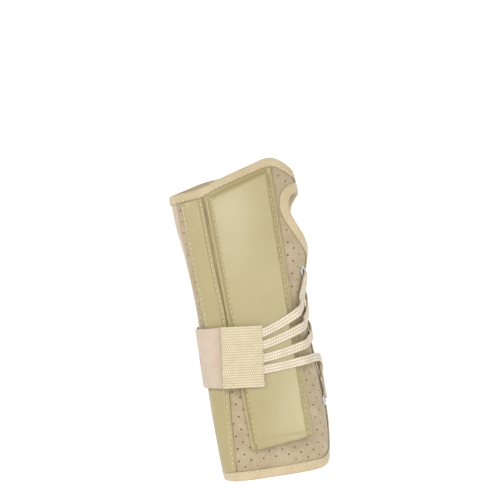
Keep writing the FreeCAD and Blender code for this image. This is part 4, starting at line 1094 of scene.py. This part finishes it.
LACES = {
    "upper_lace_run": over_edge(99.6, 6.0) + on_cloth(
        (15.0, 107.5, 2.2), (12.5, 113.0, 2.0), (11.0, 119.0, 2.3), (EYELET_S, 124.6, 2.2)),
    "upper_lace_crossing": over_edge(89.2, 3.4) + on_cloth(
        (14.5, 94.0, 2.2), (5.0, 101.5, OVER_TAPE), (-4.0, 109.5, 2.5), (-12.5, 117.0, OVER_TAPE),
        (FLAP_S + 0.5, 122.4, OUTSIDE)),
    "middle_lace_crossing": over_edge(78.4, 2.4) + on_cloth(
        (14.5, 81.4, 2.2), (5.0, 85.2, OVER_TAPE), (-4.0, 90.0, 2.5), (-12.5, 95.0, OVER_TAPE),
        (FLAP_S + 0.4, 98.0, OUTSIDE)),
    "lower_lace_crossing": over_edge(68.9, 0.6) + on_cloth(
        (14.5, 69.4, 2.4), (6.0, 68.8, 3.6), (-1.0, 66.2, 4.2), (-8.0, 60.0, 4.0), (-15.0, 52.0, 2.8),
        (FLAP_S, 46.4, OUTSIDE)),
    "lower_lace_run": on_cloth(
        (EYELET_S, 41.8, OUTSIDE), (9.0, 48.0, 2.0), (5.0, 55.5, OVER_TAPE), (0.0, 61.5, 2.4),
        (-7.0, 67.0, 2.4), (-13.5, 71.2, OVER_TAPE), (FLAP_S, 74.0, OUTSIDE)),
    "upper_inner_crossing": on_cloth(
        (EYELET_S, 124.8, INSIDE), (-4.5, 124.4, INSIDE), (FLAP_S, 122.6, INSIDE)),
    "lower_inner_crossing": on_cloth(
        (EYELET_S, 41.5, INSIDE), (-4.5, 44.4, INSIDE), (FLAP_S, 46.0, INSIDE)),
    "flap_inner_run": on_cloth((FLAP_S, 98.0, INSIDE), (FLAP_S - 0.3, 86.0, INSIDE), (FLAP_S, 74.0, INSIDE)),
}
ON_FLAP = "flap_inner_run"
ON_SLEEVE = "upper_lace_run"


def lace_line(pairs, softness):
    """Places along a lace, the ways it runs and faces, with corners eased by softness rounds of averaging."""
    line = resample(pairs, LACE_STEP)
    for _ in range(softness):
        line[1:-1] = (line[:-2] + line[1:-1] * 2 + line[2:]) / 4
    ahead = unit(np.gradient(line[:, :3], axis=0))
    up = unit(line[:, 3:] - ahead * np.sum(line[:, 3:] * ahead, axis=1, keepdims=True))
    return np.stack([line[:, :3], ahead, up])


def make_lace(name, line, stands_for, pinch=(False, False), begin=0.0):
    """Flat braid: three plaited columns of yarn, with rows of slanting bumps."""
    place, ahead, up = line
    side = np.cross(ahead, up)
    along = np.arange(len(place)) * LACE_STEP
    width = np.full(len(place), LACE_WIDE / 2)
    for closed, far in zip(pinch, (along, along[-1] - along)):
        if closed:
            width = width * (0.36 + 0.64 * eased(far, 0.5, 4.5))
    across = np.linspace(-1, 1, 28)
    lane = np.minimum((across + 1) / 2 * 3, 2.999)
    slant = np.abs(lane % 1 - 0.5) * 1.1 + LACE_PICK / 2 * (np.floor(lane) % 2)
    phase = begin + along[:, None] + slant[None]
    bumps = np.abs(np.sin(phase * pi / LACE_PICK))**0.7
    bulge = np.abs(np.sin(lane * pi))**0.6
    rise = 0.34 * bulge[None] * (0.25 + 0.75 * bumps) - 0.26 * (np.abs(across)**8)[None]
    middle = place[:, None] + side[:, None] * (across[None, :, None] * width[:, None, None])
    half = up[:, None] * (LACE / 2 - 0.16 + rise)[..., None]
    piece = make(name, *slab(middle + half, middle - half), LACE_CLOTH, None, stands_for, "lace")
    add_flat_twice(piece, np.broadcast_to((across + 1) * 2.1, phase.shape), phase)
    return piece


def make_laces():
    """Four strands from the tab, each one line cut where it leaves the pocket, and the other runs."""
    runs = ("upper_lace_run", "upper_lace_crossing", "middle_lace_crossing", "lower_lace_crossing")
    for number, run in enumerate(runs):
        line = lace_line(fan_line(number) + LACES[run], 40)
        cut = int(np.argmax(line[0][:, 0] > FAN_END))
        fan = make_lace("fan_lace_%d" % (number + 1), line[:, :cut + 1], ("fan_strand_%d" % (number + 1),))
        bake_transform(fan)
        ride_lace(make_lace(run, line[:, cut:], (run,), (False, True), cut * LACE_STEP), run)
    for run in LACES:
        if run not in runs:
            outer = run == "lower_lace_run"
            ride_lace(make_lace(run, lace_line(LACES[run], 6), (run,), (outer, outer)), run)


def ride_lace(piece, run):
    if run in (ON_FLAP, ON_SLEEVE):
        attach(piece, "flap" if run == ON_FLAP else "sleeve")
    else:
        before, after = body(6.0, 80.0, 0.0) * MM, body(-16.0, 80.0, 0.0) * MM
        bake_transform(piece)


EYELET_PROFILE = ((1.9, -4.0), (1.95, 0.3), (2.1, 0.78), (2.5, 0.98), (3.2, 0.92), (3.9, 0.62), (4.2, 0.25),
                  (4.1, 0.12), (2.45, 0.12), (2.35, -4.0))
WASHER_PROFILE = ((2.5, -3.75), (3.0, -3.9), (3.4, -3.7), (3.4, -3.3), (3.1, -3.2), (2.5, -3.2))


def make_rings(name, spots, profile, rides):
    """Turned rings of (radius, lift) profile, one round each flat place."""
    parts = []
    turns = np.linspace(0, 2 * pi, 41)[:-1]
    count = len(profile)
    faces = (quads(len(turns) + 1, count, wrap=True) % (len(turns) * count)).tolist()
    for s, height in spots:
        centre, out = body(s, height, 0.0), outward(s, height)
        first = unit(np.cross(out, [0.0, 0.0, 1.0]))
        second = np.cross(out, first)
        rings = [[centre + (first * cos(t) + second * sin(t)) * radius + out * lift
                  for radius, lift in profile] for t in turns]
        parts.append((np.array(rings).reshape(-1, 3), faces))
    make(name, *joined(parts), NICKEL, rides, (name,), "eyelet_metal")


def make_eyelets():
    for label, spots, rides in (("palmar", PALMAR_EYELETS, "sleeve"), ("flap", FLAP_EYELETS, "flap")):
        make_rings(label + "_eyelets", spots, EYELET_PROFILE, rides)
        make_rings(label + "_eyelet_washers", spots, WASHER_PROFILE, rides)


# ---- kept CAD pieces

def dress(node, material):
    """A material on a CAD piece that is shown as it is."""
    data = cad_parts[node].data
    data.materials.clear()
    data.materials.append(material)


# ---- floor, light and camera

def make_stage():
    """Plain floor that curves up into a wall all round, dark grey but made pale by its own painted glow,
    brighter towards +Y.
    """
    base, radius, curve, top, sides = -0.23, 2.4, 0.8, 2.6, 64
    profile = [(0.0001, base), (radius - curve, base)]
    profile += [(radius - curve + curve * sin(t), base + curve * (1 - cos(t)))
                for t in np.linspace(0.1, pi / 2, 14)]
    profile += [(radius, top)]
    turns = np.linspace(0, 2 * pi, sides + 1)[:-1]
    rings = np.array([[(r * cos(t), r * sin(t), z) for r, z in profile] for t in turns])
    faces = quads(sides + 1, len(profile)) % (sides * len(profile))
    glowing_backdrop = bpy.data.materials.new("stage_paper")
    glowing_backdrop.use_nodes = True
    tree = glowing_backdrop.node_tree
    shader = tree.nodes["Principled BSDF"]
    shader.inputs["Base Color"].default_value = (0.2, 0.2, 0.2, 1)
    shader.inputs["Roughness"].default_value = 0.9
    # Painted glow: the emission strength rises with Y, from 0.5 at the front to 0.97 at the back.
    shader.inputs["Emission Color"].default_value = (1, 1, 1, 1)
    place = tree.nodes.new("ShaderNodeNewGeometry")
    split = tree.nodes.new("ShaderNodeSeparateXYZ")
    link(tree, place.outputs["Position"], split.inputs["Vector"])
    link(tree, ramp(tree, split.outputs["Y"], -2.0, 0.8, 0.5, 0.97), shader.inputs["Emission Strength"])
    make("stage_floor", rings / MM, faces, glowing_backdrop)


def add_light(name, place, aim, size, power, colour=(1, 1, 1)):
    data = bpy.data.lights.new(name, "AREA")
    data.shape, data.size, data.energy, data.color = "DISK", size, power, colour
    light = bpy.data.objects.new(name, data)
    bpy.context.scene.collection.objects.link(light)
    light.location = place
    light.rotation_euler = (Vector(aim) - Vector(place)).to_track_quat("-Z", "Y").to_euler()


ROLL = radians(9.0)
VIEW_CENTRE = (0.0042, 0.1407)
VIEW_ACROSS, VIEW_AWAY, FACE_Y, SENSOR = 0.315, 1.2, -0.022, 36.0


def make_camera():
    data = bpy.data.cameras.new("camera")
    data.sensor_width = SENSOR
    data.lens = SENSOR * (VIEW_AWAY + FACE_Y) / VIEW_ACROSS
    data.clip_start, data.clip_end = 0.05, 20.0
    camera = bpy.data.objects.new("camera", data)
    bpy.context.scene.collection.objects.link(camera)
    right = Vector((cos(ROLL), 0, -sin(ROLL)))
    up = Vector((sin(ROLL), 0, cos(ROLL)))
    back = Vector((0, -1, 0))
    turn = Matrix((right, up, back)).transposed().to_4x4()
    camera.matrix_world = Matrix.Translation((VIEW_CENTRE[0], -VIEW_AWAY, VIEW_CENTRE[1])) @ turn
    bpy.context.scene.camera = camera


def make_world():
    world = bpy.data.worlds.new("studio")
    world.use_nodes = True
    sky = world.node_tree.nodes["Background"]
    sky.inputs["Color"].default_value = (1, 1, 1, 1)
    sky.inputs["Strength"].default_value = 0.21
    bpy.context.scene.world = world
    bpy.context.scene.view_settings.view_transform = "Standard"
    add_light("key", (-1.1, -1.1, 1.2), (0, 0, 0.1), 0.6, 6.4)
    add_light("upper_front", (-0.15, -1.5, 0.72), (0, 0, 0.15), 0.3, 5.0)
    add_light("lower_right", (0.22, -1.4, -0.06), (0, 0, 0.05), 0.22, 3.4)
    add_light("fill", (1.2, -1.2, 0.5), (0, 0, 0.1), 1.0, 1.5)
    add_light("back", (0.2, 1.3, 1.2), (0, 0, 0.1), 1.2, 6)


make_camera()
make_panels()
for tape_name, tape_path in edge_paths().items():
    make_tape(tape_name, np.array(tape_path, float), "flap" if tape_name == "flap_tape" else "sleeve")
make_wide_pocket()
make_side_pocket("ulnar_pocket_cover", ulnar_start, SIDE_WIDTH, 180.0)
make_side_pocket("dorsal_pocket_cover", dorsal_start, BACK_WIDTH, 190.0)
make_tab()
make_strap_piece("strap_front", STRAP_TUCK, STRAP_MEET, ("strap_palm_section",),
                 STRAP_FOLDS["tab"])
make_strap_piece("strap_rear", STRAP_MEET, STRAP_END, ("strap_side_section", "strap_back_section"),
                 STRAP_FOLDS["end"])
make_hook_patch()
make_loop_patch()
make_laces()
make_eyelets()
dress("palmar_stay", ALUMINIUM)
dress("ulnar_stay", STEEL)
dress("dorsal_stay", STEEL)
dress("palmar_pocket_lining", LINER)
make_stage()
make_world()
